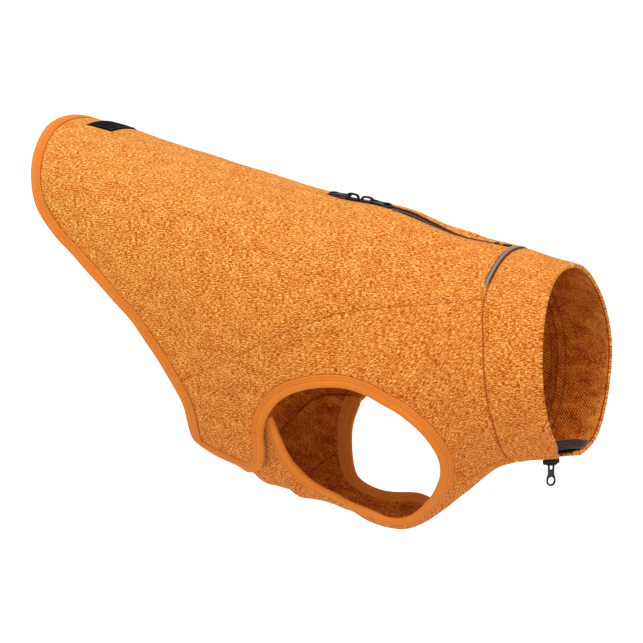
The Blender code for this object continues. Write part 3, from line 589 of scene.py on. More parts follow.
def mesh_object(name, verts, faces, mats, uv=None, slots=None):
    """A smooth mesh; uv holds metres on the flat cloth for each point."""
    mesh = bpy.data.meshes.new(name)
    mesh.from_pydata(np.asarray(verts).tolist(), [], [list(map(int, f)) for f in faces])
    for mat in mats:
        mesh.materials.append(mat)
    if slots is not None:
        mesh.polygons.foreach_set("material_index", np.asarray(slots, np.int32))
    if uv is not None:
        corner = np.zeros(len(mesh.loops), np.int32)
        mesh.loops.foreach_get("vertex_index", corner)
        layer = mesh.uv_layers.new(name="grain")
        layer.data.foreach_set("uv", np.asarray(uv, np.float32)[corner].ravel())
    mesh.shade_smooth()
    obj = bpy.data.objects.new(name, mesh)
    bpy.context.scene.collection.objects.link(obj)
    return obj


def gap_to(lines):
    """Metres from each place to the nearest of some lines."""
    if not lines:
        return lambda sr: np.full(len(sr), 0.1)
    trees = [tree_of(place(c[:, 0], c[:, 1])) for c in (paced(line, 0.0006) for line in lines)]

    def gap_of(sr):
        p = place(sr[:, 0], sr[:, 1])
        return np.min([distance(tree, p) for tree in trees], axis=0)
    return gap_of


def filled(loops, marks):
    """Triangles inside the outlines: the places of their points, and the triangles."""
    points = list(loops) + marks + [fill(loops, marks, CLOTH_STEP)]
    edges, start = [], 0
    for loop in loops:
        edges += [(start + i, start + (i + 1) % len(loop)) for i in range(len(loop))]
        start += len(loop)
    spread = [Vector(p) for p in np.vstack(points) * ROUGH_SIZE]
    out = delaunay_2d_cdt(spread, edges, [], 0, 1e-7)
    verts = np.array([v[:] for v in out[0]]) / ROUGH_SIZE
    faces = np.array(out[2])
    faces = faces[in_cloth(verts[faces].mean(1), loops)]
    used = np.unique(faces)
    index = np.full(len(verts), -1)
    index[used] = np.arange(len(used))
    return verts[used], index[faces]


EDGE_ROUNDS = ((0.22, 0.75), (0.5, 1.0), (0.78, 0.75))     # share of the wall, share of the bulge


def edge_points(outer, inner, normal, border, bulge):
    """The border's points, and for each a row of points round the thickness of the cut edge."""
    after = dict(border)
    before = {b: a for a, b in border}
    rounds = np.zeros((len(after), len(EDGE_ROUNDS), 3))
    for k, a in enumerate(after):
        way = outer[after[a]] - outer[before[a]]
        side = np.cross(way, normal[a])
        side /= max(np.linalg.norm(side), 1e-9)
        for j, (t, out_by) in enumerate(EDGE_ROUNDS):
            rounds[k, j] = outer[a] * (1 - t) + inner[a] * t + side * bulge * out_by
    return list(after), rounds


def cut_cloth(name, loops, marks, lift, wall, centre, bulge=0.0005, lines=None):
    """A cut piece: its outline filled, laid on the creased skin and given its wall.
    Each of its points keeps its distance to the lines of sewing, under the lines' own word."""
    verts, faces = filled(loops, [m for m in marks if len(m)])
    up = lift(verts)
    outer, inner = surface(verts, up), surface(verts, up - wall(verts))
    normal = axes(verts[:, 0], verts[:, 1])[2]
    a, b, c = (outer[faces[:, i]] for i in range(3))
    out_of = (np.cross(b - a, c - a) * normal[faces[:, 0]]).sum(1) > 0
    faces = np.where(out_of[:, None], faces, faces[:, ::-1])
    border = rim(faces)
    edge, extra = edge_points(outer, inner, normal, border, bulge)
    ids = {a: k for k, a in enumerate(edge)}
    n, levels = len(verts), len(EDGE_ROUNDS)
    layers = [lambda a: a] + [lambda a, j=j: 2 * n + ids[a] * levels + j
                              for j in range(levels)] + [lambda a: a + n]
    sides = [(lo(b), lo(a), hi(a), hi(b)) for a, b in border for lo, hi in zip(layers, layers[1:])]
    uv = flat(verts, centre)
    every = np.vstack([outer, inner, extra.reshape(-1, 3)])
    uvs = np.vstack([uv, uv, np.repeat(uv[edge], levels, axis=0)])
    slots = [0] * len(faces) + [1] * len(faces) + [0] * len(sides)
    obj = mesh_object(name, every, faces.tolist() + (faces[:, ::-1] + n).tolist() + sides,
                      [FACE, BACK_SIDE], uvs, slots)
    for word, chains in (lines or {}).items():
        away = gap_to(chains)(verts)
        away = np.concatenate([away, away, np.repeat(away[edge], levels)]) + MEASURED
        layer = obj.data.attributes.new(word, "FLOAT", "POINT")
        layer.data.foreach_set("value", away.astype(np.float32))
    return obj


def loft(name, rings, mats, uv_step):
    """A closed strip through closed rings of points, with a cap at each end."""
    n, m = rings.shape[:2]
    faces = [(i * m + j, i * m + (j + 1) % m, (i + 1) * m + (j + 1) % m, (i + 1) * m + j)
             for i in range(n - 1) for j in range(m)]
    faces += [list(range(m))[::-1], [(n - 1) * m + j for j in range(m)]]
    middle = rings.mean(1)
    along = np.concatenate([[0], np.cumsum(np.linalg.norm(np.diff(middle, axis=0), axis=1))])
    uv = np.stack(np.broadcast_arrays(along[:, None], np.asarray(uv_step)[None, :]), axis=-1)
    obj = mesh_object(name, rings.reshape(-1, 3), faces, mats, uv.reshape(-1, 2))
    face_out(obj)
    return obj


def face_out(obj):
    """Turns a closed mesh right side out."""
    mesh = obj.data
    mesh.calc_loop_triangles()
    co = np.array([v.co for v in mesh.vertices])
    t = np.array([tri.vertices for tri in mesh.loop_triangles])
    volume = (co[t[:, 0]] * np.cross(co[t[:, 1]], co[t[:, 2]])).sum()
    if volume < 0:
        mesh.flip_normals()


def shaped_strip(name, line, way, shape, base, mats):
    """A closed strip that follows a line on the skin; shape holds (metres aside, metres up)."""
    shape = np.asarray(shape, float)
    rows = [(slide(line, way * aside), up) for aside, up in shape]
    rings = np.stack([surface(sr, base(sr) + up) for sr, up in rows], axis=1)
    run = np.concatenate([[0], np.cumsum(np.linalg.norm(np.diff(shape, axis=0), axis=1))])
    return loft(name, rings, mats, run)


# ---------------------------------------------------------------- shader groups
def node(tree, kind, inputs=None, **settings):
    """Adds a node; inputs are values or sockets by name or number."""
    made = tree.nodes.new(kind)
    for key, value in settings.items():
        setattr(made, key, value)
    for key, value in (inputs or {}).items():
        if isinstance(value, bpy.types.NodeSocket):
            tree.links.new(value, made.inputs[key])
        else:
            made.inputs[key].default_value = value
    return made


def calc(tree, operation, *values):
    """Result of a sum on values or sockets."""
    return node(tree, "ShaderNodeMath", dict(enumerate(values)), operation=operation).outputs[0]


def noise(tree, where, scale, detail=2.0, rough=0.5):
    """Cloudy pattern from 0 to 1."""
    made = node(tree, "ShaderNodeTexNoise", {"Vector": where, "Scale": scale, "Detail": detail,
                                             "Roughness": rough})
    return made.outputs["Fac"]


def ranged(tree, value, low, high, to_low=0.0, to_high=1.0, **settings):
    """A value's range from low to high, moved to another range and held in it."""
    return node(tree, "ShaderNodeMapRange",
                {"Value": value, "From Min": low, "From Max": high, "To Min": to_low,
                 "To Max": to_high}, **settings).outputs[0]


def turned_by(tree, where, degrees, scale=(1, 1, 1)):
    """The flat cloth's metres, turned and then scaled."""
    spun = node(tree, "ShaderNodeMapping", {"Vector": where,
                                            "Rotation": (0, 0, math.radians(degrees))})
    return node(tree, "ShaderNodeMapping", {"Vector": spun.outputs[0], "Scale": scale}).outputs[0]


def new_group(name, inputs, outputs):
    """An empty shader group with named sockets, and its two ends."""
    tree = bpy.data.node_groups.new(name, "ShaderNodeTree")
    for word, kind, value in inputs:
        socket = tree.interface.new_socket(word, in_out="INPUT", socket_type=kind)
        if value is not None:
            socket.default_value = value
    for word, kind in outputs:
        tree.interface.new_socket(word, in_out="OUTPUT", socket_type=kind)
    return tree, tree.nodes.new("NodeGroupInput"), tree.nodes.new("NodeGroupOutput")


FLOAT, VECTOR = "NodeSocketFloat", "NodeSocketVector"


def knit_group():
    """Rows of knit stitches: their height, and a tone of its own for each stitch."""
    tree, given, put = new_group(
        "knit_stitches",
        (("Flat", VECTOR, None), ("Wale", FLOAT, 0.0022), ("Course", FLOAT, 0.0017),
         ("Slant", FLOAT, 1.0)),
        (("Height", FLOAT), ("Tone", FLOAT)))
    flat_xyz = node(tree, "ShaderNodeSeparateXYZ", {0: given.outputs["Flat"]})
    wave = noise(tree, given.outputs["Flat"], 190.0, 1.0)
    drift = calc(tree, "MULTIPLY", calc(tree, "SUBTRACT", wave, 0.5), 0.0011)
    column = calc(tree, "DIVIDE", calc(tree, "ADD", flat_xyz.outputs[1], drift),
                  given.outputs["Wale"])
    row = calc(tree, "DIVIDE", calc(tree, "SUBTRACT", flat_xyz.outputs[0], drift),
               given.outputs["Course"])
    side = calc(tree, "SUBTRACT", calc(tree, "FRACT", column), 0.5)
    off = calc(tree, "ABSOLUTE", side)
    slanted = calc(tree, "MULTIPLY_ADD", off, given.outputs["Slant"], row)
    leg = calc(tree, "MULTIPLY", calc(tree, "SUBTRACT", off, 0.25), 4.0)
    leg_high = calc(tree, "SUBTRACT", 1.0, calc(tree, "MULTIPLY", leg, leg))
    loop = calc(tree, "MULTIPLY", calc(tree, "SUBTRACT", calc(tree, "FRACT", slanted), 0.5), 2.0)
    loop_high = calc(tree, "SUBTRACT", 1.0,
                     calc(tree, "MULTIPLY", calc(tree, "MULTIPLY", loop, loop), 0.6))
    cell = node(tree, "ShaderNodeCombineXYZ", {
        0: calc(tree, "FLOOR", column), 1: calc(tree, "FLOOR", slanted),
        2: calc(tree, "SIGN", side)})
    tone = node(tree, "ShaderNodeTexWhiteNoise", {"Vector": cell.outputs[0]},
                noise_dimensions="3D")
    tree.links.new(calc(tree, "MULTIPLY", leg_high, loop_high), put.inputs["Height"])
    tree.links.new(tone.outputs["Value"], put.inputs["Tone"])
    return tree


def heather_group():
    """Mottle of two dyed yarns: dashes along the rows, small flecks and slow patches."""
    tree, given, put = new_group(
        "heather_mottle",
        (("Flat", VECTOR, None), ("Tone", FLOAT, 0.5), ("Turn dashes", FLOAT, 0.5),
         ("Flecks", FLOAT, 0.8), ("Patches", FLOAT, 0.5), ("Stitches", FLOAT, 0.5)),
        (("Yarn", FLOAT), ("Fuzz", FLOAT)))
    flat_uv = given.outputs["Flat"]
    dash = noise(tree, turned_by(tree, flat_uv, 16, (330, 1350, 1)), 1.0, 2.0, 0.6)
    cross = noise(tree, turned_by(tree, flat_uv, -48, (480, 1450, 1)), 1.0, 1.5, 0.6)
    fleck = noise(tree, flat_uv, 1450.0, 2.0, 0.65)
    patch = noise(tree, turned_by(tree, flat_uv, 10, (62, 105, 1)), 1.0, 2.0, 0.55)
    total = 0.5
    weak = calc(tree, "MULTIPLY", given.outputs["Turn dashes"], 0.42)
    for part, weight in ((dash, given.outputs["Turn dashes"]), (cross, weak),
                         (fleck, given.outputs["Flecks"]), (patch, given.outputs["Patches"]),
                         (given.outputs["Tone"], given.outputs["Stitches"])):
        total = calc(tree, "MULTIPLY_ADD", calc(tree, "SUBTRACT", part, 0.5), weight, total)
    fuzz = noise(tree, flat_uv, 1900.0, 3.0, 0.7)
    held = node(tree, "ShaderNodeClamp", {0: total})
    tree.links.new(held.outputs[0], put.inputs["Yarn"])
    tree.links.new(fuzz, put.inputs["Fuzz"])
    return tree


def rib_group():
    """Fine woven or elastic ribs, with ribs one way and picks the other."""
    tree, given, put = new_group(
        "woven_ribs",
        (("Flat", VECTOR, None), ("Rib", FLOAT, 0.0008), ("Pick", FLOAT, 0.0005)),
        (("Height", FLOAT), ("Tone", FLOAT)))
    xyz = node(tree, "ShaderNodeSeparateXYZ", {0: given.outputs["Flat"]})
    drift = calc(tree, "MULTIPLY", noise(tree, given.outputs["Flat"], 260.0, 2.0), 0.0005)
    rib = calc(tree, "DIVIDE", calc(tree, "ADD", xyz.outputs[1], drift), given.outputs["Rib"])
    shift = calc(tree, "MULTIPLY", calc(tree, "FLOOR", rib), 0.5)
    pick = calc(tree, "ADD", calc(tree, "DIVIDE", xyz.outputs[0], given.outputs["Pick"]), shift)
    high = []
    for turn in (rib, pick):
        half = calc(tree, "MULTIPLY", calc(tree, "SUBTRACT", calc(tree, "FRACT", turn), 0.5), 2.0)
        high.append(calc(tree, "SUBTRACT", 1.0, calc(tree, "MULTIPLY", half, half)))
    cell = node(tree, "ShaderNodeCombineXYZ", {0: calc(tree, "FLOOR", rib),
                                               1: calc(tree, "FLOOR", pick), 2: 0.0})
    tone = node(tree, "ShaderNodeTexWhiteNoise", {"Vector": cell.outputs[0]},
                noise_dimensions="3D")
    both = calc(tree, "MULTIPLY", high[0], calc(tree, "MULTIPLY_ADD", high[1], 0.55, 0.45))
    tree.links.new(both, put.inputs["Height"])
    tree.links.new(tone.outputs["Value"], put.inputs["Tone"])
    return tree


def wear_group():
    """Rubbed places and dust: slow patches broken up by fine grain."""
    tree, given, put = new_group(
        "rubbed_places", (("Where", VECTOR, None), ("Patch scale", FLOAT, 60.0),
                          ("Grain scale", FLOAT, 900.0)),
        (("Rub", FLOAT), ("Grain", FLOAT)))
    where = given.outputs["Where"]
    slow = noise(tree, where, given.outputs["Patch scale"], 3.0, 0.6)
    fine = noise(tree, where, given.outputs["Grain scale"], 2.0, 0.6)
    rub = ranged(tree, slow, 0.48, 0.72)
    tree.links.new(calc(tree, "MULTIPLY", rub, fine), put.inputs["Rub"])
    tree.links.new(fine, put.inputs["Grain"])
    return tree


KNIT, MOTTLE, RIBS, WEAR = knit_group(), heather_group(), rib_group(), wear_group()


# ---------------------------------------------------------------- materials
def new_material(name, rough, sheen=0.0, sheen_tint=(1, 1, 1, 1), specular=0.5):
    """A new material, its tree and its shader."""
    mat = bpy.data.materials.new(name)
    mat.use_nodes = True
    bsdf = mat.node_tree.nodes["Principled BSDF"]
    bsdf.inputs["Roughness"].default_value = rough
    bsdf.inputs["Specular IOR Level"].default_value = specular
    bsdf.inputs["Sheen Weight"].default_value = sheen
    bsdf.inputs["Sheen Roughness"].default_value = 0.45
    bsdf.inputs["Sheen Tint"].default_value = sheen_tint
    return mat, mat.node_tree, bsdf


def use_group(tree, group, inputs):
    """Outputs of one of the groups above."""
    return node(tree, "ShaderNodeGroup", inputs, node_tree=group).outputs


def rubbed(tree, where, patch_scale, grain_scale):
    """Outputs of the group for rubbed places."""
    return use_group(tree, WEAR, {"Where": where, "Patch scale": patch_scale,
                                  "Grain scale": grain_scale})


def ramp(tree, factor, *stops):
    """Colour at a factor, between stops of (factor, colour)."""
    made = node(tree, "ShaderNodeValToRGB", {0: factor})
    row = made.color_ramp.elements
    while len(row) < len(stops):
        row.new(0.5)
    for element, (at, color) in zip(row, stops):
        element.position, element.color = at, (*color, 1)
    return made.outputs[0]


def bump(tree, bsdf, height, strength, depth):
    """Lets a height stand out of the surface."""
    made = node(tree, "ShaderNodeBump", {"Strength": strength, "Distance": depth,
                                         "Height": height})
    tree.links.new(made.outputs[0], bsdf.inputs["Normal"])


def grain_of(tree):
    """Metres on the flat cloth."""
    return node(tree, "ShaderNodeUVMap", uv_map="grain").outputs[0]


def in_space(tree):
    """Metres in the object's own axes."""
    return node(tree, "ShaderNodeTexCoord").outputs["Object"]


def beside_line(tree, word, at, half):
    """1 on a line that lies at a distance from an edge, 0 half a width away from it."""
    found = node(tree, "ShaderNodeAttribute", attribute_name=word).outputs["Fac"]
    off = calc(tree, "ABSOLUTE", calc(tree, "SUBTRACT", found, at + MEASURED))
    off = calc(tree, "ADD", off, calc(tree, "LESS_THAN", found, MEASURED / 10))
    return ranged(tree, off, 0.0, half, 1.0, 0.0, interpolation_type="SMOOTHSTEP")


# Painted shade on the face: dark lines in the seams, beside the bindings and at the leash slot's
# edges.
FACE_SHADE_LINES = (
    # stored distance, metres from that edge, half width, how dark
    ("seam_gap", 0.0, 0.0011, 0.85), ("soft_gap", 0.0, 0.0009, 0.22),
    ("slot_gap", 0.0, 0.0007, 0.70), ("edge_gap", 0.0106, 0.0010, 0.50))
# Painted shade inside: along the seams, at the edges of their allowances and just inside the
# neck's turned edge.
BACK_SHADE_LINES = (
    # stored distance, metres from that edge, half width, how dark
    ("turned_gap", 0.0006, 0.0011, 0.90), ("seam_gap", 0.0064, 0.0010, 0.55),
    ("seam_gap", 0.0, 0.0012, 0.70), ("soft_gap", 0.0, 0.0010, 0.60))


def painted_shade_lines(tree, rows):
    """Painted shade in the cloth's seams and beside its edges: how dark it is, from a table of
    lines.
    """
    dark = 0.0
    for word, at, half, much in rows:
        line = calc(tree, "MULTIPLY", beside_line(tree, word, at, half), much)
        dark = calc(tree, "MAXIMUM", dark, line)
    return dark


def mixed(tree, factor, color, other):
    """A colour with some of another one over it."""
    made = node(tree, "ShaderNodeMix", {0: factor, 6: color}, data_type="RGBA")
    if isinstance(other, bpy.types.NodeSocket):
        tree.links.new(other, made.inputs[7])
    else:
        made.inputs[7].default_value = (*other, 1)
    return made.outputs[2]


def towards_back(tree):
    """1 along the back, falling to 0 under the chest; it sets the painted shade below and the
    stronger mottle there.
    """
    xyz = node(tree, "ShaderNodeSeparateXYZ", {0: in_space(tree)})
    ahead = calc(tree, "MAXIMUM", calc(tree, "SUBTRACT", xyz.outputs[0], 0.09), 0.0)
    high = calc(tree, "SUBTRACT", xyz.outputs[2], calc(tree, "MULTIPLY", ahead, 0.30))
    return ranged(tree, high, -0.27, 0.03)


def painted_shade_below(tree, color, place_at):
    """The same colour with painted shade: darker and redder towards the chest and the underside.
    """
    # Painted shade: each stop darkens and reddens the colour, most towards the chest.
    tint = ramp(tree, place_at, (0.0, (1.0, 0.70, 0.50)), (0.25, (1.0, 0.80, 0.68)),
                (0.50, (1.0, 0.89, 0.86)), (1.0, (1.0, 1.0, 1.0)))
    made = node(tree, "ShaderNodeMix", {0: 1.0, 6: color, 7: tint}, data_type="RGBA",
                blend_type="MULTIPLY")
    return made.outputs[2]


def heather_material():
    """Knit face of the fleece, with painted shade in the line of each seam, beside the bindings
    and at the leash slot's edges, and darker and redder towards the chest.
    """
    mat, tree, bsdf = new_material("heather_knit_face", 0.95, 0.16, (1.0, 0.42, 0.12, 1),
                                   specular=0.08)
    flat_uv = grain_of(tree)
    knit = use_group(tree, KNIT, {"Flat": turned_by(tree, flat_uv, 4), "Wale": 0.0014,
                                  "Course": 0.0010, "Slant": 1.3})
    yarn = use_group(tree, MOTTLE, {"Flat": flat_uv, "Tone": knit["Tone"], "Turn dashes": 3.3,
                                    "Flecks": 1.5, "Patches": 0.52, "Stitches": 0.34})
    shade = calc(tree, "MULTIPLY_ADD", calc(tree, "SUBTRACT", knit["Height"], 0.6), 0.22,
                 yarn["Yarn"])
    place_at = towards_back(tree)
    below = calc(tree, "MAXIMUM", calc(tree, "SUBTRACT", 0.5, place_at), 0.0)
    shade = calc(tree, "MULTIPLY_ADD", calc(tree, "SUBTRACT", shade, 0.5),
                 calc(tree, "MULTIPLY_ADD", below, 1.6, 1.12), 0.5)
    color = ramp(tree, shade, (0.00, (0.330, 0.050, 0.0038)), (0.26, (0.470, 0.112, 0.0088)),
                 (0.50, (0.605, 0.200, 0.0200)), (0.76, (0.710, 0.315, 0.0500)),
                 (1.00, (0.800, 0.490, 0.1430)))
    # Painted shade: darker and redder on the underside, towards the chest.
    color = painted_shade_below(tree, color, place_at)
    # Painted shade: seams and edges darkened towards a deep brown.
    color = mixed(tree, painted_shade_lines(tree, FACE_SHADE_LINES), color, (0.230, 0.026, 0.0004))
    tree.links.new(color, bsdf.inputs["Base Color"])
    high = calc(tree, "MULTIPLY_ADD", yarn["Fuzz"], 0.35, knit["Height"])
    bump(tree, bsdf, calc(tree, "MULTIPLY_ADD", yarn["Yarn"], 0.6, high), 0.6, 0.0005)
    return mat


def lining_side_material():
    """Brushed back of the same fleece with the face along turned edges; its deeper, redder colour
    is partly the brushed pile and partly painted shade for the inside.
    """
    mat, tree, bsdf = new_material("heather_brushed_back_shaded", 0.97, 0.12, (1.0, 0.35, 0.08, 1),
                                   specular=0.05)
    flat_uv = grain_of(tree)
    knit = use_group(tree, KNIT, {"Flat": turned_by(tree, flat_uv, 32), "Wale": 0.0019,
                                  "Course": 0.0026, "Slant": 0.8})
    twill = node(tree, "ShaderNodeTexWave",
                 {"Vector": turned_by(tree, flat_uv, 28), "Scale": 190.0, "Distortion": 3.0,
                  "Detail": 2.0, "Detail Scale": 2.0}, bands_direction="Y").outputs["Fac"]
    yarn = use_group(tree, MOTTLE, {"Flat": flat_uv, "Tone": knit["Tone"], "Turn dashes": 2.6,
                                    "Flecks": 1.6, "Patches": 1.7, "Stitches": 0.25})
    shade = calc(tree, "MULTIPLY_ADD", calc(tree, "SUBTRACT", knit["Height"], 0.6), 0.20,
                 yarn["Yarn"])
    shade = calc(tree, "MULTIPLY_ADD", calc(tree, "SUBTRACT", twill, 0.5), 0.95, shade)
    # Darker and redder than the face: partly the brushed pile, partly painted shade for the
    # inside.
    color = ramp(tree, shade, (0.00, (0.190, 0.019, 0.0012)), (0.35, (0.350, 0.050, 0.0032)),
                 (0.60, (0.520, 0.105, 0.0075)), (1.00, (0.720, 0.225, 0.0260)))
    face = ramp(tree, yarn["Yarn"], (0.15, (0.36, 0.068, 0.006)), (0.85, (0.86, 0.34, 0.062)))
    turned = node(tree, "ShaderNodeAttribute", attribute_name="turned_gap").outputs["Fac"]
    on_turned = ranged(tree, turned, 0.0015, 0.0170, 0.72, 0.0)
    there = ranged(tree, turned, 0.0, MEASURED)
    color = mixed(tree, calc(tree, "MULTIPLY", on_turned, there), color, face)
    # Painted shade inside, along the seams and the turned neck edge.
    color = mixed(tree, painted_shade_lines(tree, BACK_SHADE_LINES), color, (0.115, 0.011, 0.0003))
    tree.links.new(color, bsdf.inputs["Base Color"])
    high = calc(tree, "MULTIPLY_ADD", yarn["Fuzz"], 0.8, knit["Height"])
    high = calc(tree, "MULTIPLY_ADD", twill, 0.6, high)
    bump(tree, bsdf, calc(tree, "MULTIPLY_ADD", yarn["Yarn"], 0.8, high), 0.6, 0.0006)
    return mat


def ribbed_material(name, low, high, rough, rib, pick, deep, sheen, tint=(1, 1, 1, 1), shine=0.3):
    """Binding, tape or label: fine ribs in one dye."""
    mat, tree, bsdf = new_material(name, rough, sheen, tint, specular=shine)
    flat_uv = grain_of(tree)
    ribs = use_group(tree, RIBS, {"Flat": flat_uv, "Rib": rib, "Pick": pick})
    rub = rubbed(tree, flat_uv, 70.0, 1500.0)
    shade = calc(tree, "MULTIPLY_ADD", calc(tree, "SUBTRACT", ribs["Tone"], 0.5), 0.35,
                 calc(tree, "MULTIPLY_ADD", ribs["Height"], 0.45, rub["Grain"]))
    shade = calc(tree, "MULTIPLY_ADD", rub["Rub"], 0.3, calc(tree, "SUBTRACT", shade, 0.3))
    tree.links.new(ramp(tree, shade, (0.0, low), (1.0, high)), bsdf.inputs["Base Color"])
    bump(tree, bsdf, calc(tree, "MULTIPLY_ADD", rub["Grain"], 0.3, ribs["Height"]), 0.5, deep)
    return mat


def thread_material(name, low, high, sheen=0.2, shine=0.4):
    """Twisted sewing thread."""
    mat, tree, bsdf = new_material(name, 0.6, sheen, specular=shine)
    rub = rubbed(tree, in_space(tree), 300.0, 4200.0)
    tree.links.new(ramp(tree, rub["Grain"], (0.3, low), (0.7, high)), bsdf.inputs["Base Color"])
    bump(tree, bsdf, rub["Grain"], 0.4, 0.0001)
    return mat


def metal_material(name, shine):
    """Painted die-cast metal, rubbed a little bare."""
    mat, tree, bsdf = new_material(name, 0.45, specular=shine)
    rub = rubbed(tree, in_space(tree), 420.0, 3000.0)
    color = ramp(tree, rub["Rub"], (0.20, (0.007, 0.007, 0.008)), (0.7, (0.036, 0.035, 0.036)))
    tree.links.new(color, bsdf.inputs["Base Color"])
    tree.links.new(calc(tree, "MULTIPLY_ADD", rub["Grain"], 0.35, 0.28), bsdf.inputs["Roughness"])
    tree.links.new(calc(tree, "MULTIPLY", rub["Rub"], 0.5), bsdf.inputs["Metallic"])
    bump(tree, bsdf, rub["Grain"], 0.25, 0.00012)
    return mat


def piping_material():
    """Grey piping with fine glass beads."""
    mat, tree, bsdf = new_material("reflective_piping", 0.45, 0.05)
    rub = rubbed(tree, grain_of(tree), 120.0, 3600.0)
    color = ramp(tree, rub["Grain"], (0.3, (0.090, 0.080, 0.080)), (0.7, (0.170, 0.150, 0.150)))
    tree.links.new(color, bsdf.inputs["Base Color"])
    tree.links.new(calc(tree, "MULTIPLY_ADD", rub["Grain"], 0.4, 0.18), bsdf.inputs["Roughness"])
    bump(tree, bsdf, rub["Grain"], 0.35, 0.00015)
    return mat


def shiny_tape_material():
    """Coated tape end, folded over at the throat."""
    mat, tree, bsdf = new_material("coated_tape_end", 0.38, specular=0.45)
    rub = rubbed(tree, in_space(tree), 260.0, 2200.0)
    color = ramp(tree, rub["Grain"], (0.2, (0.016, 0.020, 0.027)), (0.8, (0.048, 0.058, 0.074)))
    tree.links.new(color, bsdf.inputs["Base Color"])
    tree.links.new(calc(tree, "MULTIPLY_ADD", rub["Rub"], 0.3, 0.3), bsdf.inputs["Roughness"])
    bump(tree, bsdf, rub["Rub"], 0.3, 0.0004)
    return mat


FACE, BACK_SIDE = heather_material(), lining_side_material()
ELASTIC = ribbed_material("elastic_binding", (0.520, 0.125, 0.0100), (0.640, 0.205, 0.0260), 0.85,
                          0.00085, 0.00055, 0.00018, 0.12, (1.0, 0.45, 0.15, 1), 0.12)
TAPE = ribbed_material("zip_tape_weave", (0.006, 0.006, 0.007), (0.022, 0.023, 0.026), 0.70,
                       0.0009, 0.0006, 0.0003, 0.0, shine=0.18)
LABEL_WEAVE = ribbed_material("label_weave", (0.001, 0.001, 0.0012), (0.005, 0.005, 0.006), 0.85,
                              0.00045, 0.00035, 0.00015, 0.0, shine=0.03)
THREAD = thread_material("orange_thread", (0.42, 0.080, 0.006), (0.60, 0.170, 0.018))
# Thread darkened as painted shade: in the grooves beside the piping and in the belly's seam
# inside.
SHADE_THREAD = thread_material("thread_in_painted_shade", (0.120, 0.010, 0.0004), (0.190, 0.022, 0.0008),
                              0.0, 0.04)
BLACK_THREAD = thread_material("black_thread", (0.008, 0.008, 0.010), (0.04, 0.04, 0.045))
COIL = thread_material("zip_coil", (0.008, 0.008, 0.010), (0.035, 0.037, 0.042))
METAL, SLIDER_METAL = metal_material("pull_metal", 0.40), metal_material("slider_metal", 0.14)
PIPE_GREY, SHINY = piping_material(), shiny_tape_material()


# ---------------------------------------------------------------- threads
def thread_tree():
    """Short rounded stitches set along lines, each turned to lie on the cloth."""
    tree = bpy.data.node_groups.new("thread_along", "GeometryNodeTree")
    sockets = {}
    for word, kind, value in (("Lines", "NodeSocketGeometry", None),
                              ("Pitch", FLOAT, 0.003), ("Long", FLOAT, 0.0026),
                              ("Radius", FLOAT, 0.0002), ("Slant", FLOAT, 0.0),
                              ("Aside", FLOAT, 0.0), ("Rings", "NodeSocketInt", 5),
                              ("Finish", "NodeSocketMaterial", None)):
        socket = tree.interface.new_socket(word, in_out="INPUT", socket_type=kind)
        if value is not None:
            socket.default_value = value
        sockets[word] = socket.identifier
    tree.interface.new_socket("Stitches", in_out="OUTPUT", socket_type="NodeSocketGeometry")
    given, put = tree.nodes.new("NodeGroupInput"), tree.nodes.new("NodeGroupOutput")
    curve = node(tree, "GeometryNodeMeshToCurve", {0: given.outputs["Lines"]})
    spaced = node(tree, "GeometryNodeResampleCurve", {"Curve": curve.outputs[0]}, mode="LENGTH")
    tree.links.new(given.outputs["Pitch"], spaced.inputs["Length"])
    out = node(tree, "GeometryNodeInputNamedAttribute", {"Name": "out"},
               data_type="FLOAT_VECTOR").outputs["Attribute"]
    run = node(tree, "GeometryNodeInputTangent").outputs[0]
    count = node(tree, "GeometryNodeInputIndex").outputs[0]
    odd = calc(tree, "MODULO", count, 2.0)
    swing = calc(tree, "SUBTRACT", calc(tree, "MULTIPLY", odd, 2.0), 1.0)
    sideways = node(tree, "ShaderNodeVectorMath", {0: run, 1: out}, operation="CROSS_PRODUCT")
    step = node(tree, "ShaderNodeVectorMath",
                {0: sideways.outputs[0], "Scale": calc(tree, "MULTIPLY", swing,
                                                       given.outputs["Aside"])},
                operation="SCALE")
    moved = node(tree, "GeometryNodeSetPosition", {"Geometry": spaced.outputs[0],
                                                   "Offset": step.outputs[0]})
    along = node(tree, "FunctionNodeAlignRotationToVector", {"Vector": run}, axis="X")
    upright = node(tree, "FunctionNodeAlignRotationToVector",
                   {"Rotation": along.outputs[0], "Vector": out}, axis="Z", pivot_axis="X")
    bead = node(tree, "GeometryNodeMeshUVSphere", {"Segments": 6, "Radius": 1.0})
    tree.links.new(given.outputs["Rings"], bead.inputs["Rings"])
    half = calc(tree, "MULTIPLY", given.outputs["Long"], 0.5)
    turned = node(tree, "GeometryNodeTransform", {"Geometry": bead.outputs[0],
                                                  "Rotation": (0, math.pi / 2, 0)})
    size = node(tree, "ShaderNodeCombineXYZ", {0: half, 1: given.outputs["Radius"],
                                               2: given.outputs["Radius"]})
    placed = node(tree, "GeometryNodeInstanceOnPoints",
                  {"Points": moved.outputs[0], "Instance": turned.outputs[0],
                   "Rotation": upright.outputs[0], "Scale": size.outputs[0]})
    lean = node(tree, "ShaderNodeCombineXYZ", {0: 0.0, 1: 0.0,
                                               2: calc(tree, "MULTIPLY", swing,
                                                       given.outputs["Slant"])})
    leant = node(tree, "GeometryNodeRotateInstances",
                 {"Instances": placed.outputs[0], "Rotation": lean.outputs[0]})
    real = node(tree, "GeometryNodeRealizeInstances", {0: leant.outputs[0]})
    soft = node(tree, "GeometryNodeSetShadeSmooth", {"Geometry": real.outputs[0],
                                                     "Shade Smooth": True})
    done = node(tree, "GeometryNodeSetMaterial", {"Geometry": soft.outputs[0],
                                                  "Material": given.outputs["Finish"]})
    tree.links.new(done.outputs[0], put.inputs[0])
    return tree, sockets


THREADS, THREAD_SOCKETS = thread_tree()


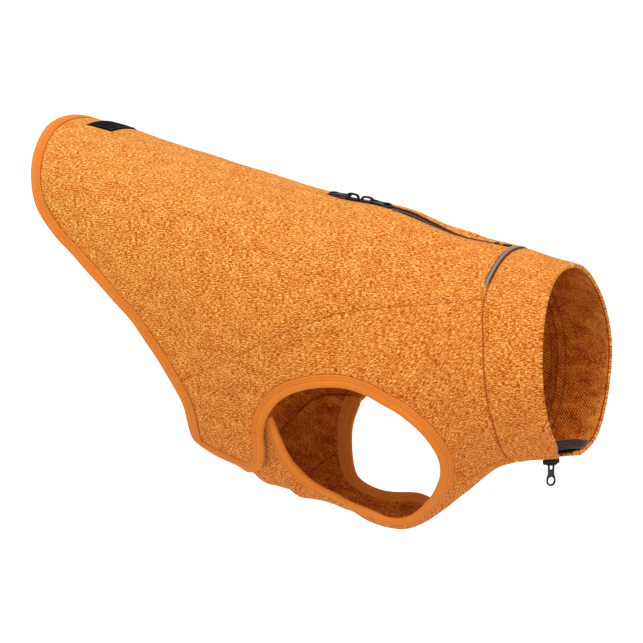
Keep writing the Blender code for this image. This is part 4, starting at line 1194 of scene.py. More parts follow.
def threads(name, lines, finish, slot, **sizes):
    """Sews lines, each (points, outward directions), into one piece of the garment."""
    points = np.vstack([p for p, _ in lines])
    edges, start = [], 0
    for p, _ in lines:
        edges += [(start + i, start + i + 1) for i in range(len(p) - 1)]
        start += len(p)
    mesh = bpy.data.meshes.new(name)
    mesh.from_pydata(points.tolist(), edges, [])
    outward = mesh.attributes.new("out", "FLOAT_VECTOR", "POINT")
    outward.data.foreach_set("vector", np.vstack([o for _, o in lines]).ravel())
    obj = bpy.data.objects.new(name, mesh)
    bpy.context.scene.collection.objects.link(obj)
    modifier = obj.modifiers.new("thread_along", "NODES")
    modifier.node_group = THREADS
    for word, value in dict(sizes, Finish=finish).items():
        modifier[THREAD_SOCKETS[word]] = value
    graph = bpy.context.evaluated_depsgraph_get()
    sewn = bpy.data.meshes.new_from_object(obj.evaluated_get(graph))
    obj.modifiers.remove(modifier)
    obj.data = sewn
    sewn.name = name
    if not sewn.materials:
        sewn.materials.append(finish)
    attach(obj, "garment")


def on_cloth(sr, lift=0.0):
    """A line of stitches on the cloth: its points and outward directions."""
    return surface(sr, lift), axes(sr[:, 0], sr[:, 1])[2]


# ---------------------------------------------------------------- the garment
def own(obj, slot, *nodes, flat_size=None, area=None, body="garment"):
    """Parents a piece to what it rides on and hides the parts it stands for; how big the cloth was
    cut, flat_size and area, is not used, nor is slot.
    """
    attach(obj, body)
    if nodes:
        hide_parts(*nodes)
    return obj


# Soft lines that sewing leaves in the face.
SEAM_DIP, SEAM_RIDGE, DEEP_DIP, BOUND_RIDGE = (
    # metres from the edge, half width, high
    (0.0, 0.0016, -0.00055), (0.0055, 0.003, 0.00045), (0.0, 0.0020, -0.00055),
    (0.0155, 0.0025, 0.0003))
# Cloth pressed flat under a binding, and folds of cloth inside each seam and at the neck.
UNDER_BINDING, SEAM_FOLD, NECK_FOLD = (
    # metres from the edge where it ends, metres over which it ends, high
    (0.0135, 0.0035, -0.0005), (0.0062, 0.0016, 0.0009), (0.0072, 0.0012, 0.0007))
THIN_BESIDE_ZIP = (0.0058, 0.0025)       # where it ends, and over how much


def soft_line(gap, row):
    """Height of a soft ridge or trough along an edge."""
    at, half, high = row
    return high * np.exp(-((gap - at) / half) ** 2)


def beside_edge(gap, row):
    """A height that holds beside an edge and ends at a distance from it."""
    at, over, high = row
    return high * smooth_step((at - gap) / over)


def rolled(seams, bound, deep, base=None):
    """Lift of a panel that dips into its seams, more into the deep ones, and is pressed flat
    under its bindings."""
    from_seam, from_edge, from_deep = gap_to(seams), gap_to(bound), gap_to(deep)

    def lift(sr):
        up = np.zeros(len(sr)) if base is None else base(sr)
        gap = from_seam(sr)
        pucker = 0.75 + 0.25 * np.sin(flat(sr)[:, 0] * 900) * np.sin(flat(sr)[:, 0] * 347 + 1)
        up = up + soft_line(gap, SEAM_DIP) * pucker + soft_line(from_deep(sr), DEEP_DIP)
        up = up + soft_line(gap, SEAM_RIDGE) * pucker
        gap = from_edge(sr)
        return up + beside_edge(gap, UNDER_BINDING) + soft_line(gap, BOUND_RIDGE)
    return lift


def seam_wall(wall, seams, thin=(), turned=()):
    """Wall, thicker inside each seam and turned edge and thinner beside a zip."""
    from_seam, from_thin, from_turned = gap_to(seams), gap_to(thin), gap_to(turned)

    def thick(sr):
        out = wall + beside_edge(from_seam(sr), SEAM_FOLD)
        out = out + beside_edge(from_turned(sr), NECK_FOLD)
        return out + beside_edge(from_thin(sr), (*THIN_BESIDE_ZIP, ZIP_LIP - wall))
    return thick


hem, tab, top, low = edges_of_cloth()
half_gap = SEAM_GAP / 2
princess, chest_seam = seam_line(PRINCESS), seam_line(CHEST_SEAM)
princess[0], chest_seam[0] = tab["raw"][0], top["raw"][-1]
corner_up, corner_low = PRINCESS[-1][1], CHEST_SEAM[-1][1]
belly_edge = seam_line(BELLY_EDGE, WIDE_CORNER)
belly_edge[0] = low["raw"][-1]

# back panel, with the leash zip's opening
slot_right, slot_left = (opening(LEASH_SLOT, 0.0, sign) for sign in (1, -1))
slot = np.vstack([slot_right, slot_left[::-1]])
back_loop = ring((mirror(hem["raw"])[::-1], 0.0), (hem["raw"], 0.0),
                 (princess, half_gap), (collar_line(corner_up, -corner_up), half_gap),
                 (mirror(princess)[::-1], half_gap))
seams = [princess, mirror(princess), collar_line(-corner_up, corner_up)]
whole_edge = np.vstack([mirror(hem["edge"])[::-1], hem["edge"][1:]])
back = cut_cloth("back_cloth", [back_loop, slot], [rails([back_loop, slot])],
                 rolled(seams, [whole_edge], seams[2:]),
                 seam_wall(WALL, seams, [slot_right, slot_left]), 0.0,
                 lines=dict(seam_gap=seams[2:], soft_gap=seams[:2], edge_gap=[whole_edge],
                            slot_gap=[slot_right, slot_left]))
own(back, "heather", "back_panel", flat_size=(0.38, 0.44), area=0.1185)

# side panels
side_loop = ring((tab["raw"], 0.0), (top["raw"], 0.0), (chest_seam, half_gap),
                 (collar_line(corner_low, corner_up), half_gap), (princess[::-1], half_gap))
side_rows = rails([side_loop])
for word, turn in (("right", 1.0), ("left", -1.0)):
    flip = mirror if turn < 0 else (lambda sr: sr)
    seams = [flip(c) for c in (princess, chest_seam, collar_line(corner_low, corner_up))]
    bound = [flip(c) for c in (tab["edge"], top["edge"])]
    side = cut_cloth("side_cloth_" + word, [flip(side_loop)], [flip(side_rows)],
                     rolled(seams, bound, seams[2:]), seam_wall(WALL, seams), 0.55 * turn,
                     lines=dict(seam_gap=seams[2:], soft_gap=seams[:2], edge_gap=bound))
    own(side, "heather", "side_panel_" + word, flat_size=(0.14, 0.27), area=0.0240)

# belly panel, slit from the collar for the chest zip
slit_right = opening(CHEST_SLIT, 1.0, -1, end=0.9361)
slit = np.vstack([slit_right[::-1], mirror(slit_right, 1.0)])
front = collar_line(corner_low, slit[0][1])
half = [(chest_seam[::-1], half_gap), (low["raw"], 0.0), (belly_edge, 0.0)]
other = [(mirror(chain, 1.0)[::-1], dist) for chain, dist in reversed(half)]
belly_loop = ring(*half, *other, (mirror(front, 1.0), half_gap), (slit[::-1], 0.0),
                  (front[::-1], half_gap))
seams = [chest_seam, mirror(chest_seam, 1.0), front, mirror(front, 1.0)]
bound = [low["edge"], mirror(low["edge"], 1.0)]
turned_edge = [belly_edge, mirror(belly_edge, 1.0)]
belly = cut_cloth("belly_cloth", [belly_loop], [rails([belly_loop])],
                  rolled(seams, bound, seams[2:], belly_lift), seam_wall(WALL, seams), 1.0,
                  lines=dict(seam_gap=seams[2:], soft_gap=seams[:2] + turned_edge,
                             edge_gap=bound))
own(belly, "heather", "belly_panel", flat_size=(0.15, 0.27), area=0.0220)

# collar, a band open at the throat
throat = opening(CHEST_SLIT, 1.0, -1, start=0.936)
neck_r = np.linspace(throat[-1][1], -throat[-1][1], 165)
neck = np.stack([np.ones_like(neck_r), neck_r], 1)
seam = collar_line(-throat[0][1], -corner_low, -corner_up, corner_up, corner_low, throat[0][1])
band = ring((seam, half_gap), (throat, 0.0), (neck, 0.0), (mirror(throat)[::-1], 0.0))
collar = cut_cloth("collar_cloth", [band], [rails([band])], rolled([seam], [], [seam]),
                   seam_wall(COLLAR_WALL, [seam], (), [neck]), 0.0, bulge=0.0010,
                   lines=dict(seam_gap=[seam], turned_gap=[neck]))
own(collar, "heather", "collar", flat_size=(0.058, 0.45), area=0.0205)


# ---------------------------------------------------------------- bindings
def binding(name, node_name, edge, sunk, side, flat_size):
    """Elastic binding folded over a bound edge, with its stitches on both faces."""
    way = inward(edge, side)
    sunk = np.broadcast_to(sunk, len(edge))
    whole = BINDING_SHAPE + BINDING_INSIDE
    shape = [(aside * MM, up * MM) for aside, up in whole]
    strip = shaped_strip(name, edge, way, shape, lambda sr: sunk * belly_lift(sr), [ELASTIC])
    own(strip, "binding", node_name, flat_size=flat_size)
    rows = []
    for aside, up in BINDING_STITCHES:
        sr = slide(edge, way * aside * MM)
        base = sunk * belly_lift(sr)
        points, out = on_cloth(sr, base + (up + BINDING_STITCH_OVER) * MM)
        rows.append((points, out))
        points, out = on_cloth(sr, base + BINDING_STITCH_INSIDE * MM)
        rows.append((points, -out))
    threads(name + "_stitches", rows, THREAD, "binding", Pitch=STITCH["pitch"],
            Long=STITCH["long"], Radius=STITCH["radius"])


tab_back = np.vstack([tab["edge"][::-1], hem["edge"][::-1][1:]])
whole_hem = np.vstack([tab_back, mirror(tab_back)[::-1][1:]])
binding("hem_fold", "hem_binding", whole_hem, 0.0, -1.0, (0.0245, 0.95))
arm = np.vstack([top["edge"], low["edge"][1:]])
sunk = np.concatenate([np.zeros(len(top["edge"])), np.ones(len(low["edge"]) - 1)])
binding("armhole_fold_right", "armhole_binding_right", arm, sunk, 1.0, (0.0245, 0.44))
binding("armhole_fold_left", "armhole_binding_left", mirror(arm), sunk, -1.0, (0.0245, 0.44))


# ---------------------------------------------------------------- label and piping
def patch(name, grid, base, thick, mats, round_by):
    """A laid patch, thinner over the outer round_by steps of its grid, which is
    (rows along, columns across, 2)."""
    rows, columns = grid.shape[:2]
    sr = grid.reshape(-1, 2)
    i, j = np.meshgrid(np.linspace(0, 1, rows), np.linspace(0, 1, columns), indexing="ij")
    steps_in = np.minimum(np.minimum(i, 1 - i) * (rows - 1), np.minimum(j, 1 - j) * (columns - 1))
    edge = smooth_step(steps_in.reshape(-1) / round_by)
    upper = surface(sr, base + thick * (0.35 + 0.65 * edge))
    lower = surface(sr, np.full(len(sr), base))
    index = np.arange(rows * columns).reshape(rows, columns)
    quads = np.stack([index[:-1, :-1], index[1:, :-1], index[1:, 1:], index[:-1, 1:]],
                     axis=-1).reshape(-1, 4)
    border = np.concatenate([index[0, :-1], index[:-1, -1], index[-1, :0:-1], index[:0:-1, 0]])
    n = rows * columns
    sides = [(a, b, b + n, a + n) for a, b in zip(border, np.roll(border, -1))]
    faces = quads.tolist() + (quads[:, ::-1] + n).tolist() + [tuple(map(int, f)) for f in sides]
    uv = flat(sr)
    obj = mesh_object(name, np.vstack([upper, lower]), faces, mats, np.vstack([uv, uv]))
    face_out(obj)
    return obj


along_label = float(np.linalg.norm(axes(np.array([LABEL["station"]]), np.zeros(1))[0]))
label_s = (LABEL["station"]
           + np.linspace(-0.5, 0.5, LABEL["rows"]) * LABEL["long"] / along_label)
label_y = np.linspace(-0.5, 0.5, LABEL["columns"]) * (LABEL["wide"] - 0.001)
label_grid = np.stack([across(label_s, np.full(len(label_s), d), 0.0) for d in label_y], 1)
label = patch("label_patch", label_grid, LABEL["lift"], LABEL["thick"], [LABEL_WEAVE], 1.6)
own(label, "label", "label", flat_size=(0.038, 0.026))
frame_rows = []
inset = (label_grid[2, 2:-2], label_grid[2:-2, -3], label_grid[-3, -3:1:-1],
         label_grid[-3:1:-1, 2])
for row in inset:
    row = paced(row, 0.0008)
    frame_rows.append(on_cloth(row, LABEL["lift"] + LABEL["thick"] + 0.00012))
threads("label_stitches", frame_rows, BLACK_THREAD, "label", Pitch=0.0024, Long=0.0020,
        Radius=0.00018)

pipe_line = paced(dense(collar_line(-PIPING["reach"], PIPING["reach"])), PIPING["step"])
ahead = inward(pipe_line, -1.0)
ahead = ahead * (1.0 if ahead[len(ahead) // 2][0] < 0 else -1.0)
half_pipe = PIPING["wide"] / 2
middle_of_pipe = PIPING["off_seam"] + half_pipe
arc = [(middle_of_pipe + math.cos(a) * half_pipe, -0.0001 + math.sin(a) * PIPING["high"])
       for a in np.linspace(0, math.pi, 9)]
arc += [(middle_of_pipe - half_pipe, -0.0012), (middle_of_pipe + half_pipe, -0.0012)]
count = np.arange(len(pipe_line))
from_end = np.minimum(count, count[::-1]) * PIPING["step"]
dive = 0.0024 * (1 - smooth_step(from_end / 0.012))      # its ends sink into the seam
piping = shaped_strip("collar_piping_cord", pipe_line, ahead, arc, lambda sr: -dive, [PIPE_GREY])
own(piping, "piping", "collar_piping")


# ---------------------------------------------------------------- zips
LEASH_SLIDERS = (
    # name, station, hinge ahead of it, 1 where the pull points ahead, its tilt and roll in degrees
    ("rear", 0.6142, -0.0030, -1, 3.5, -7.0),
    ("front", 0.6412, 0.0030, 1, 3.5, 14.0),
)
CHEST_STATION = 0.9720
CHEST_TWIST = 38.0       # the chest's pull hangs turned by this many degrees
AXIS_UP = 0.0027         # hinge above the skin
TAPE_WIDE = 0.0132
TURNED_UNDER = 0.0052    # width of the cloth that is turned under beside the leash slot
TAPE_TOP, CHEST_TAPE_TOP = -WALL - 0.0004, -COLLAR_WALL - 0.0004
SLIDER_OUTLINE = (
    # along_mm, half_width_mm: the body, round its nose, waist and tail
    (-5.6, 2.2), (-5.2, 2.8), (-3.4, 3.35), (-1.6, 3.9), (0.5, 3.9), (3.6, 3.9), (4.9, 3.6),
    (5.6, 2.9))
PULL_OUTLINE = (
    # along_mm, half_width_mm, from the hinge bar to the tip
    (-0.7, 2.0), (-0.2, 2.7), (1.5, 2.8), (4.5, 2.75), (6.2, 2.75), (8.0, 2.65), (10.0, 2.8),
    (11.2, 3.25), (12.6, 3.7), (14.5, 3.9), (16.6, 3.6), (18.0, 2.6), (18.8, 1.0))
PULL_THICK = 0.0015
PULL_SLOT = ((0.0008, -0.0012), (0.0055, -0.0012), (0.0058, -0.0009), (0.0058, 0.0009),
             (0.0055, 0.0012), (0.0008, 0.0012))
PULL_RING = dict(at=0.0146, hole=(0.0028, 0.0026), bead=(0.00325, 0.0030), bead_wide=0.0004,
                 bead_high=0.00098)
RIB_OUTLINE = ((-0.0046, -0.0013), (0.0044, -0.0018), (0.0044, 0.0018), (-0.0046, 0.0013))
CHEEK_OUTLINE = ((-0.0054, 0.0008), (0.0054, 0.0008), (0.0053, 0.0036), (0.0046, 0.0043),
                 (-0.0046, 0.0043), (-0.0053, 0.0036))
CHEEK_ASIDE = 0.00345
BAIL = dict(reach=0.00495, foot=0.0004, spring=0.0012, rise=0.0035, wide=0.0025, thick=0.0018)
TAPE_SHAPE = (
    # aside_mm, high_mm: round the tape, with its woven-in cord by the coil
    (0.25, 0.10), (0.9, 0.35), (1.9, 0.40), (2.6, 0.10), (3.2, 0.0), (4.4, 0.03), (5.6, 0.0),
    (6.6, 0.03), (7.6, 0.0), (8.8, 0.03), (10.2, 0.0), (11.6, 0.03), (12.6, 0.0),
    (13.0, -0.25), (12.8, -0.6), (11.0, -0.62), (9.0, -0.62), (7.6, -0.62), (6.2, -0.62),
    (4.8, -0.62), (3.4, -0.62), (2.0, -0.62), (0.6, -0.6), (0.25, -0.3))
STOP_BLOCKS = (
    # ahead, aside, half_long, half_wide
    (0.0, -0.0016, 0.0027, 0.0027), (-0.0095, -0.0004, 0.0016, 0.0013))


def tape_side(name, node_names, stations, centre, sign, top, table=None):
    """Half of a zip's tape, from its coil to its outer edge. With a table of the opening, whose
    edges are turned under, the tape lies higher there."""
    s = np.arange(stations[0], stations[1], 0.003 / LENGTH)
    rings = []
    for aside, up in TAPE_SHAPE:
        sr = across(s, np.full(len(s), sign * aside * MM), centre)
        rise = 0.0
        if table:
            half_open = monotone(table, np.clip(s, table[0][0], table[-1][0]))[..., 0]
            under = smooth_step((half_open + TURNED_UNDER - aside * MM) / 0.0025)
            rise = (WALL - ZIP_LIP) * under
        rings.append(surface(sr, top + up * MM + rise))
    steps = np.linalg.norm(np.diff(TAPE_SHAPE, axis=0), axis=1)
    run = np.concatenate([[0], np.cumsum(steps)]) * MM
    tape = loft(name, np.stack(rings, axis=1), [TAPE], run)
    own(tape, "zip_tape", *node_names,
        flat_size=(TAPE_WIDE, (stations[1] - stations[0]) * LENGTH))


def coil(name, stations, centre, top):
    """Coil of the zip: turns of stiff thread across the joined tapes."""
    s = np.linspace(*stations, 160)
    mid = across(s, np.zeros(len(s)), centre)
    lines = [on_cloth(mid, np.full(len(s), top + 0.0008))]
    threads(name, lines, COIL, "zip_tape", Pitch=0.0007, Long=0.0040, Radius=0.00042,
            Slant=math.pi / 2, Rings=7)


def slider_frame(station, centre):
    """Axes on the cloth under a slider: forward, sideways, outward."""
    s, r = np.array([station]), np.array([centre])
    along, _, normal = (v[0] for v in axes(s, r))
    forward = Vector(along).normalized()
    out = Vector(normal)
    out = (out - forward * out.dot(forward)).normalized()
    frame_at = Matrix((forward, out.cross(forward), out)).transposed().to_4x4()
    frame_at.translation = Vector(place(station, centre))
    return frame_at


def rounded_plate(name, outlines, thick, round_by):
    """Mesh of a flat plate with rolled edges, from closed outlines; later ones are holes."""
    curve = bpy.data.curves.new(name + "_outline", "CURVE")
    curve.dimensions, curve.fill_mode = "2D", "BOTH"
    curve.extrude, curve.bevel_depth = thick / 2 - round_by, round_by
    curve.bevel_resolution, curve.offset = 2, -round_by
    for outline in outlines:
        line = curve.splines.new("POLY")
        line.points.add(len(outline) - 1)
        for point, (x, y) in zip(line.points, outline):
            point.co = (x, y, 0, 1)
        line.use_cyclic_u = True
    made = bpy.data.objects.new(name + "_flat", curve)
    bpy.context.scene.collection.objects.link(made)
    graph = bpy.context.evaluated_depsgraph_get()
    mesh = bpy.data.meshes.new_from_object(made.evaluated_get(graph))
    bpy.data.objects.remove(made)
    bm = bmesh.new()
    bm.from_mesh(mesh)
    bmesh.ops.remove_doubles(bm, verts=bm.verts, dist=2e-6)
    bmesh.ops.recalc_face_normals(bm, faces=bm.faces)
    bm.to_mesh(mesh)
    bm.free()
    return mesh


def rounded_path(points, across_by, thick, frame_at):
    """Rings of points round a strap that follows points in the frame's own X and Z."""
    points = np.array(points)
    run = np.gradient(points, axis=0)
    run /= np.linalg.norm(run, axis=1, keepdims=True)
    side = np.stack([-run[:, 1], run[:, 0]], axis=1)
    a = np.linspace(0, 2 * math.pi, 13)[:-1]
    wide = np.sign(np.cos(a)) * np.abs(np.cos(a)) ** 0.6 * across_by / 2
    deep = np.sign(np.sin(a)) * np.abs(np.sin(a)) ** 0.6 * thick / 2
    x = points[:, 0:1] + side[:, 0:1] * deep
    z = points[:, 1:2] + side[:, 1:2] * deep
    y = np.broadcast_to(wide, x.shape)
    return world(np.stack([x, y, z], axis=-1), frame_at)


def world(local, frame_at):
    """Points in a frame's own axes, where they stand in the world."""
    m = np.array(frame_at)
    return local @ m[:3, :3].T + m[:3, 3]


def smooth_outline(rows):
    """Both sides of an outline given by its half widths, as one closed round."""
    rows = np.array(rows) * MM
    t = np.arange(len(rows))
    fine = np.linspace(0, len(rows) - 1, (len(rows) - 1) * 4 + 1)
    half = np.stack([np.interp(fine, t, rows[:, 0]),
                     monotone(np.column_stack([t, rows[:, 1]]), fine)[..., 0]], axis=1)
    return [tuple(p) for p in half] + [(x, -y) for x, y in half[::-1]]


def oval(ahead, half_sizes, n=28):
    """Points round an oval whose middle lies ahead on the long axis."""
    turn = [2 * math.pi * i / n for i in range(n)]
    return [(ahead + half_sizes[0] * math.cos(a), half_sizes[1] * math.sin(a)) for a in turn]


def hardware(name, meshes, body, *nodes, finish=METAL):
    """Joins meshes that already stand in place into one painted piece."""
    bm = bmesh.new()
    for mesh in meshes:
        bm.from_mesh(mesh)
    joined = bpy.data.meshes.new(name)
    bm.to_mesh(joined)
    bm.free()
    joined.materials.clear()
    joined.materials.append(finish)
    joined.shade_smooth()
    joined.set_sharp_from_angle(angle=math.radians(38))
    obj = bpy.data.objects.new(name, joined)
    bpy.context.scene.collection.objects.link(obj)
    own(obj, "zip_metal", *nodes, body=body)


def ring_mesh(name, rings):
    """Mesh through rings of points, closed at both ends."""
    n, m = rings.shape[:2]
    faces = [(i * m + j, (i + 1) * m + j, (i + 1) * m + (j + 1) % m, i * m + (j + 1) % m)
             for i in range(n - 1) for j in range(m)]
    faces += [list(range(m)), [(n - 1) * m + j for j in range(m)][::-1]]
    mesh = bpy.data.meshes.new(name)
    mesh.from_pydata(rings.reshape(-1, 3).tolist(), [], faces)
    bm = bmesh.new()
    bm.from_mesh(mesh)
    bmesh.ops.recalc_face_normals(bm, faces=bm.faces)
    bm.to_mesh(mesh)
    bm.free()
    return mesh


def slider(name, node_name, frame_at, cheeks=False):
    """Slider: a waisted body with a raised rib, the arched bail that carries the pull, and on
    the chest's slider a cheek each side of the pull."""
    body = rounded_plate(name, [smooth_outline(SLIDER_OUTLINE)], 0.0023, 0.00045)
    body.transform(frame_at @ Matrix.Translation((0, 0, 0.00025)))
    rib = rounded_plate(name + "_rib", [RIB_OUTLINE], 0.0010, 0.0003)
    rib.transform(frame_at @ Matrix.Translation((0, 0, 0.0014)))
    arch = [(-BAIL["reach"], BAIL["foot"])]
    for a in np.linspace(math.pi, 0, 17):
        x, z = math.cos(a), math.sin(a)
        arch.append((np.sign(x) * abs(x) ** 0.60 * BAIL["reach"],
                     BAIL["spring"] + abs(z) ** 0.65 * BAIL["rise"]))
    arch.append((BAIL["reach"], BAIL["foot"]))
    strap = rounded_path(arch, BAIL["wide"], BAIL["thick"], frame_at)
    parts = [body, rib, ring_mesh(name + "_bail", strap)]
    for side in (-1, 1) if cheeks else ():
        cheek = rounded_plate(name + "_cheek", [CHEEK_OUTLINE], 0.0011, 0.0003)
        cheek.transform(frame_at @ Matrix.Translation((0, side * CHEEK_ASIDE, 0))
                        @ Matrix.Rotation(math.pi / 2, 4, "X"))
        parts.append(cheek)
    hardware(name, parts, "garment", node_name, finish=SLIDER_METAL)


def pull(name, node_name, hinge, body):
    """Pull with its slot for the bail and its oval ring, rolled at the edges."""
    at = PULL_RING["at"]
    outlines = [smooth_outline(PULL_OUTLINE), PULL_SLOT, oval(at, PULL_RING["hole"])]
    plate = rounded_plate(name, outlines, PULL_THICK, 0.0004)
    plate.transform(hinge)
    bead = []
    for x, y in oval(at, PULL_RING["bead"], 40):
        out = Vector((x - at, y, 0)).normalized() * PULL_RING["bead_wide"]
        bead.append([(x + out.x * math.cos(t), y + out.y * math.cos(t),
                      math.sin(t) * PULL_RING["bead_high"])
                     for t in np.linspace(0, 2 * math.pi, 9)[:-1]])
    bead.append(bead[0])
    ring_bead = ring_mesh(name + "_bead", world(np.array(bead), hinge))
    hardware(name, [plate, ring_bead], body, node_name)


leash_span, chest_span = (0.553, 0.8945), (0.742, 0.9975)
for word, sign in (("right", 1.0), ("left", -1.0)):
    nodes = ("leash_zip",) if sign > 0 else ()
    tape_side("leash_tape_" + word, nodes, leash_span, 0.0, sign, TAPE_TOP, LEASH_SLOT)
    nodes = ("chest_zip",) if sign > 0 else ()
    tape_side("chest_tape_" + word, nodes, chest_span, 1.0, -sign, CHEST_TAPE_TOP)
coil("leash_coil", (0.572, 0.885), 0.0, TAPE_TOP + WALL - ZIP_LIP)
coil("chest_coil", (0.756, 0.966), 1.0, CHEST_TAPE_TOP)
for word, station, along, points, tilt, roll in LEASH_SLIDERS:
    at = slider_frame(station, 0.0)
    slider("leash_runner_" + word, "leash_slider_" + word, at)
    tip = Matrix.Rotation(math.radians(tilt), 4, "Y")
    if points < 0:
        tip = Matrix.Rotation(math.pi, 4, "Z") @ tip
    tip = tip @ Matrix.Rotation(math.radians(roll), 4, "X")
    pull("leash_tag_" + word, "leash_pull_" + word,
         at @ Matrix.Translation((along, 0, AXIS_UP)) @ tip, "leash_tab_" + word)
at = slider_frame(CHEST_STATION, 1.0)
slider("chest_runner", "chest_slider", at, cheeks=True)
hang = Matrix.Rotation(math.radians(-CHEST_TWIST), 4, "Z") @ Matrix.Rotation(math.pi / 2, 4, "Y")
hang.translation = (at @ Matrix.Translation((0, 0, AXIS_UP))).translation
pull("chest_tag", "chest_pull", hang, "chest_tab")

# bar tack and stop where the leash zip ends by the collar
stop_frame = slider_frame(0.8925, 0.0)
blocks = []
for ahead_by, aside, half_x, half_y in STOP_BLOCKS:
    block = rounded_plate("stop", [[(-half_x, -half_y), (half_x, -half_y), (half_x, half_y),
                                    (-half_x, half_y)]], 0.0022, 0.0005)
    block.transform(stop_frame @ Matrix.Translation((ahead_by, aside, 0.0003)))
    blocks.append(block)
hardware("leash_zip_stop", blocks, "garment", finish=SLIDER_METAL)

# the chest zip's tape ends, turned aside and folded on the inside of the collar at the throat
TAPE_END_LEFT = (
    # station, inner_mm, outer_mm, under_collar_mm
    (0.946, 2.0, 10.0, 0.9), (0.955, 2.0, 19.0, 1.0), (0.962, 2.0, 25.5, 1.3),
    (0.972, 2.2, 28.0, 1.8), (0.984, 2.6, 27.5, 2.2), (0.9935, 3.2, 25.5, 2.3),
    (0.9985, 4.2, 24.0, 1.9), (1.0005, 5.4, 22.5, 1.1), (0.9985, 6.2, 21.0, 0.7),
    (0.988, 6.4, 19.5, 0.5))
TAPE_END_RIGHT = (
    # station, inner_mm, outer_mm, under_collar_mm
    (0.946, 2.0, 10.0, 0.9), (0.956, 2.0, 17.0, 1.0), (0.964, 2.0, 22.0, 1.4),
    (0.975, 2.4, 24.0, 2.0), (0.986, 2.6, 23.5, 2.2), (0.9945, 3.4, 21.5, 2.1),
    (0.9990, 4.4, 20.0, 1.6), (1.0002, 5.0, 18.5, 1.0), (0.9975, 6.0, 17.5, 0.7),
    (0.987, 6.2, 16.5, 0.5))


def folded_end(name, run, sign):
    """A coated tape end that turns aside, folds back on itself and puckers."""
    cross = np.linspace(0, 1, 31)
    t = np.arange(len(run))
    fine = np.linspace(0, len(run) - 1, 55)
    rows = monotone(np.column_stack([t, np.array(run)]), fine)
    grid = []
    for station, inner, outer, under in rows:
        y = (inner + (outer - inner) * cross) * MM * sign
        sr = across(np.full(len(cross), station), y, 1.0)
        pucker = (0.8 * np.sin(cross * 8.0 + station * 190 + sign)
                  + 0.45 * np.sin(cross * 19 - station * 90))
        up = -COLLAR_WALL - (0.7 + under + 0.42 * pucker) * MM
        grid.append(surface(sr, up))
    points = np.array(grid)
    n, m = points.shape[:2]
    faces = [(i * m + j, i * m + j + 1, (i + 1) * m + j + 1, (i + 1) * m + j)
             for i in range(n - 1) for j in range(m - 1)]
    obj = mesh_object(name, points.reshape(-1, 3), faces, [SHINY])
    wall = obj.modifiers.new("wall", "SOLIDIFY")
    wall.thickness, wall.offset = 0.0005, 0.0
    own(obj, "zip_tape")


folded_end("throat_tape_right", TAPE_END_RIGHT, -1.0)
folded_end("throat_tape_left", TAPE_END_LEFT, 1.0)


# ---------------------------------------------------------------- sewing
def beside(chain, aside, side=1.0):
    """A line beside a seam."""
    return slide(chain, inward(chain, side) * aside)


FINE_STEP = 0.0012       # spacing of points along the finer sewing
OVERLOCK_ASIDE = 0.0036  # each side of a seam, inside
fine_princess = paced(soften(dense(PRINCESS), CORNER), FINE_STEP)
topstitch = []
for sign in (1.0, -1.0):
    s = np.linspace(0.572, 0.884, 200)
    half_open = monotone(LEASH_SLOT, s)[..., 0]
    topstitch.append(on_cloth(across(s, sign * (half_open + 0.0030), 0.0), 0.00005))
    s = np.linspace(0.757, 0.934, 130)
    half_open = monotone(CHEST_SLIT, s)[..., 0]
    topstitch.append(on_cloth(across(s, sign * (half_open + 0.0032), 1.0), 0.00005))
neck_row = np.stack([np.full(420, 0.9885), np.linspace(-0.955, 0.955, 420)], 1)
topstitch.append(on_cloth(neck_row, 0.00002))
threads("topstitch", topstitch, THREAD, "heather", Pitch=0.0032, Long=0.0026, Radius=0.00019)



def seen_inside(line, lift):
    """A line of stitches on the cloth's inner face."""
    points, out = on_cloth(line, lift)
    return points, -out


inner = [seen_inside(neck_row, -COLLAR_WALL - 0.00012)]
seam_sides = [beside(fine_princess[4:-4], aside) for aside in (OVERLOCK_ASIDE, -OVERLOCK_ASIDE)]
for line in seam_sides + [mirror(line) for line in seam_sides]:
    inner.append(seen_inside(line, -WALL - 0.00095))
collar_run = collar_line(-0.95, 0.95)
for aside in (OVERLOCK_ASIDE, -OVERLOCK_ASIDE):
    inner.append(seen_inside(beside(collar_run, aside), -COLLAR_WALL - 0.0009))
threads("inside_overlock", inner, THREAD, "heather", Pitch=0.0024, Long=0.0052, Radius=0.00022,
        Slant=math.radians(52))

# where the belly panel is sewn to the tabs, seen from inside, in thread darkened as painted shade
held = []
fine_belly = paced(soften(dense(BELLY_EDGE), WIDE_CORNER), FINE_STEP)
tab_front = paced(soften(dense(TAB_HELD), CORNER), FINE_STEP)
on_right = [beside(fine_belly[6:], 0.0012, -1.0), tab_front]
for line in on_right + [mirror(line) for line in on_right]:
    held.append(seen_inside(line, belly_lift(line) - WALL - 0.0001))
threads("belly_held", held, SHADE_THREAD, "heather", Pitch=0.0022, Long=0.0021, Radius=0.00040)

# dark thread along both sides of the piping, painted shade for the grooves beside it, and the
# coil's edge in the closed zip
cord = []
for aside in (0.00035, 0.0009 + PIPING["wide"]):
    line = slide(pipe_line, ahead * aside)[6:-6]
    cord.append(on_cloth(line, 0.0002 - dive[6:-6]))
threads("piping_shade_stitches", cord, SHADE_THREAD, "piping", Pitch=0.0018, Long=0.0020, Radius=0.00042)
s = np.linspace(0.742, 0.886, 160)
closed = across(s, -(monotone(LEASH_SLOT, s)[..., 0] - 0.0004), 0.0)
risen = -0.0004 + 0.0006 * smooth_step((s - s[0]) / 0.03)
threads("leash_coil_edge", [on_cloth(closed, risen)], BLACK_THREAD, "zip_tape", Pitch=0.0010,
        Long=0.0014, Radius=0.00034)


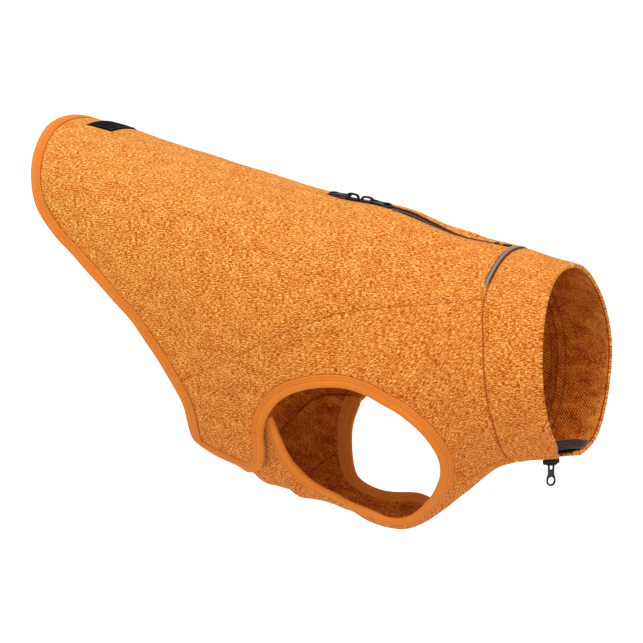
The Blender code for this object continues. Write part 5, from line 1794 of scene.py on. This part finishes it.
# ---------------------------------------------------------------- floor, light and camera
floor_mesh = bpy.data.meshes.new("studio_floor")
floor_mesh.from_pydata([(-40, -40, -1.2), (40, -40, -1.2), (40, 40, -1.2), (-40, 40, -1.2)],
                       [], [(0, 1, 2, 3)])
floor = bpy.data.objects.new("studio_floor", floor_mesh)
bpy.context.scene.collection.objects.link(floor)
floor_mat, _, floor_bsdf = new_material("pale_floor", 0.9, specular=0.1)
floor_bsdf.inputs["Base Color"].default_value = (0.72, 0.72, 0.72, 1)
floor_mesh.materials.append(floor_mat)

world_light = bpy.data.worlds.new("pale_studio")
bpy.context.scene.world = world_light
world_light.use_nodes = True
sky = world_light.node_tree.nodes["Background"]
sky.inputs["Color"].default_value = (1.0, 1.0, 1.0, 1)
sky.inputs["Strength"].default_value = 1.05
LIGHTS = (
    # name, power, softness in degrees, azimuth, elevation
    ("key", 2.04, 45, 8, 66),
    ("fill", 0.30, 70, 75, 28),
    ("front", 0.20, 60, -35, 20),
)
for word, power, soft, azimuth, elevation in LIGHTS:
    lamp = bpy.data.lights.new(word, "SUN")
    lamp.energy, lamp.angle = power, math.radians(soft)
    a, e = math.radians(azimuth), math.radians(elevation)
    toward = Vector((math.sin(a) * math.cos(e), -math.cos(a) * math.cos(e), math.sin(e)))
    holder = bpy.data.objects.new(word, lamp)
    holder.rotation_euler = toward.to_track_quat("Z", "Y").to_euler()
    bpy.context.scene.collection.objects.link(holder)
bpy.context.scene.view_settings.view_transform = "Standard"

AZIMUTH, ELEVATION, AWAY = math.radians(30), math.radians(8.5), 2.0
TARGET = Vector((0.055, 0.0, -0.1125))
camera = bpy.data.cameras.new("photo_view")
camera.sensor_width, camera.lens = 36.0, 139.97
camera.clip_start, camera.clip_end = 0.05, 200.0
photo_view = bpy.data.objects.new("photo_view", camera)
way = Vector((math.sin(AZIMUTH) * math.cos(ELEVATION), -math.cos(AZIMUTH) * math.cos(ELEVATION),
              math.sin(ELEVATION)))
photo_view.location = TARGET + way * AWAY
photo_view.rotation_euler = way.to_track_quat("Z", "Y").to_euler()
bpy.context.scene.collection.objects.link(photo_view)
bpy.context.scene.camera = photo_view
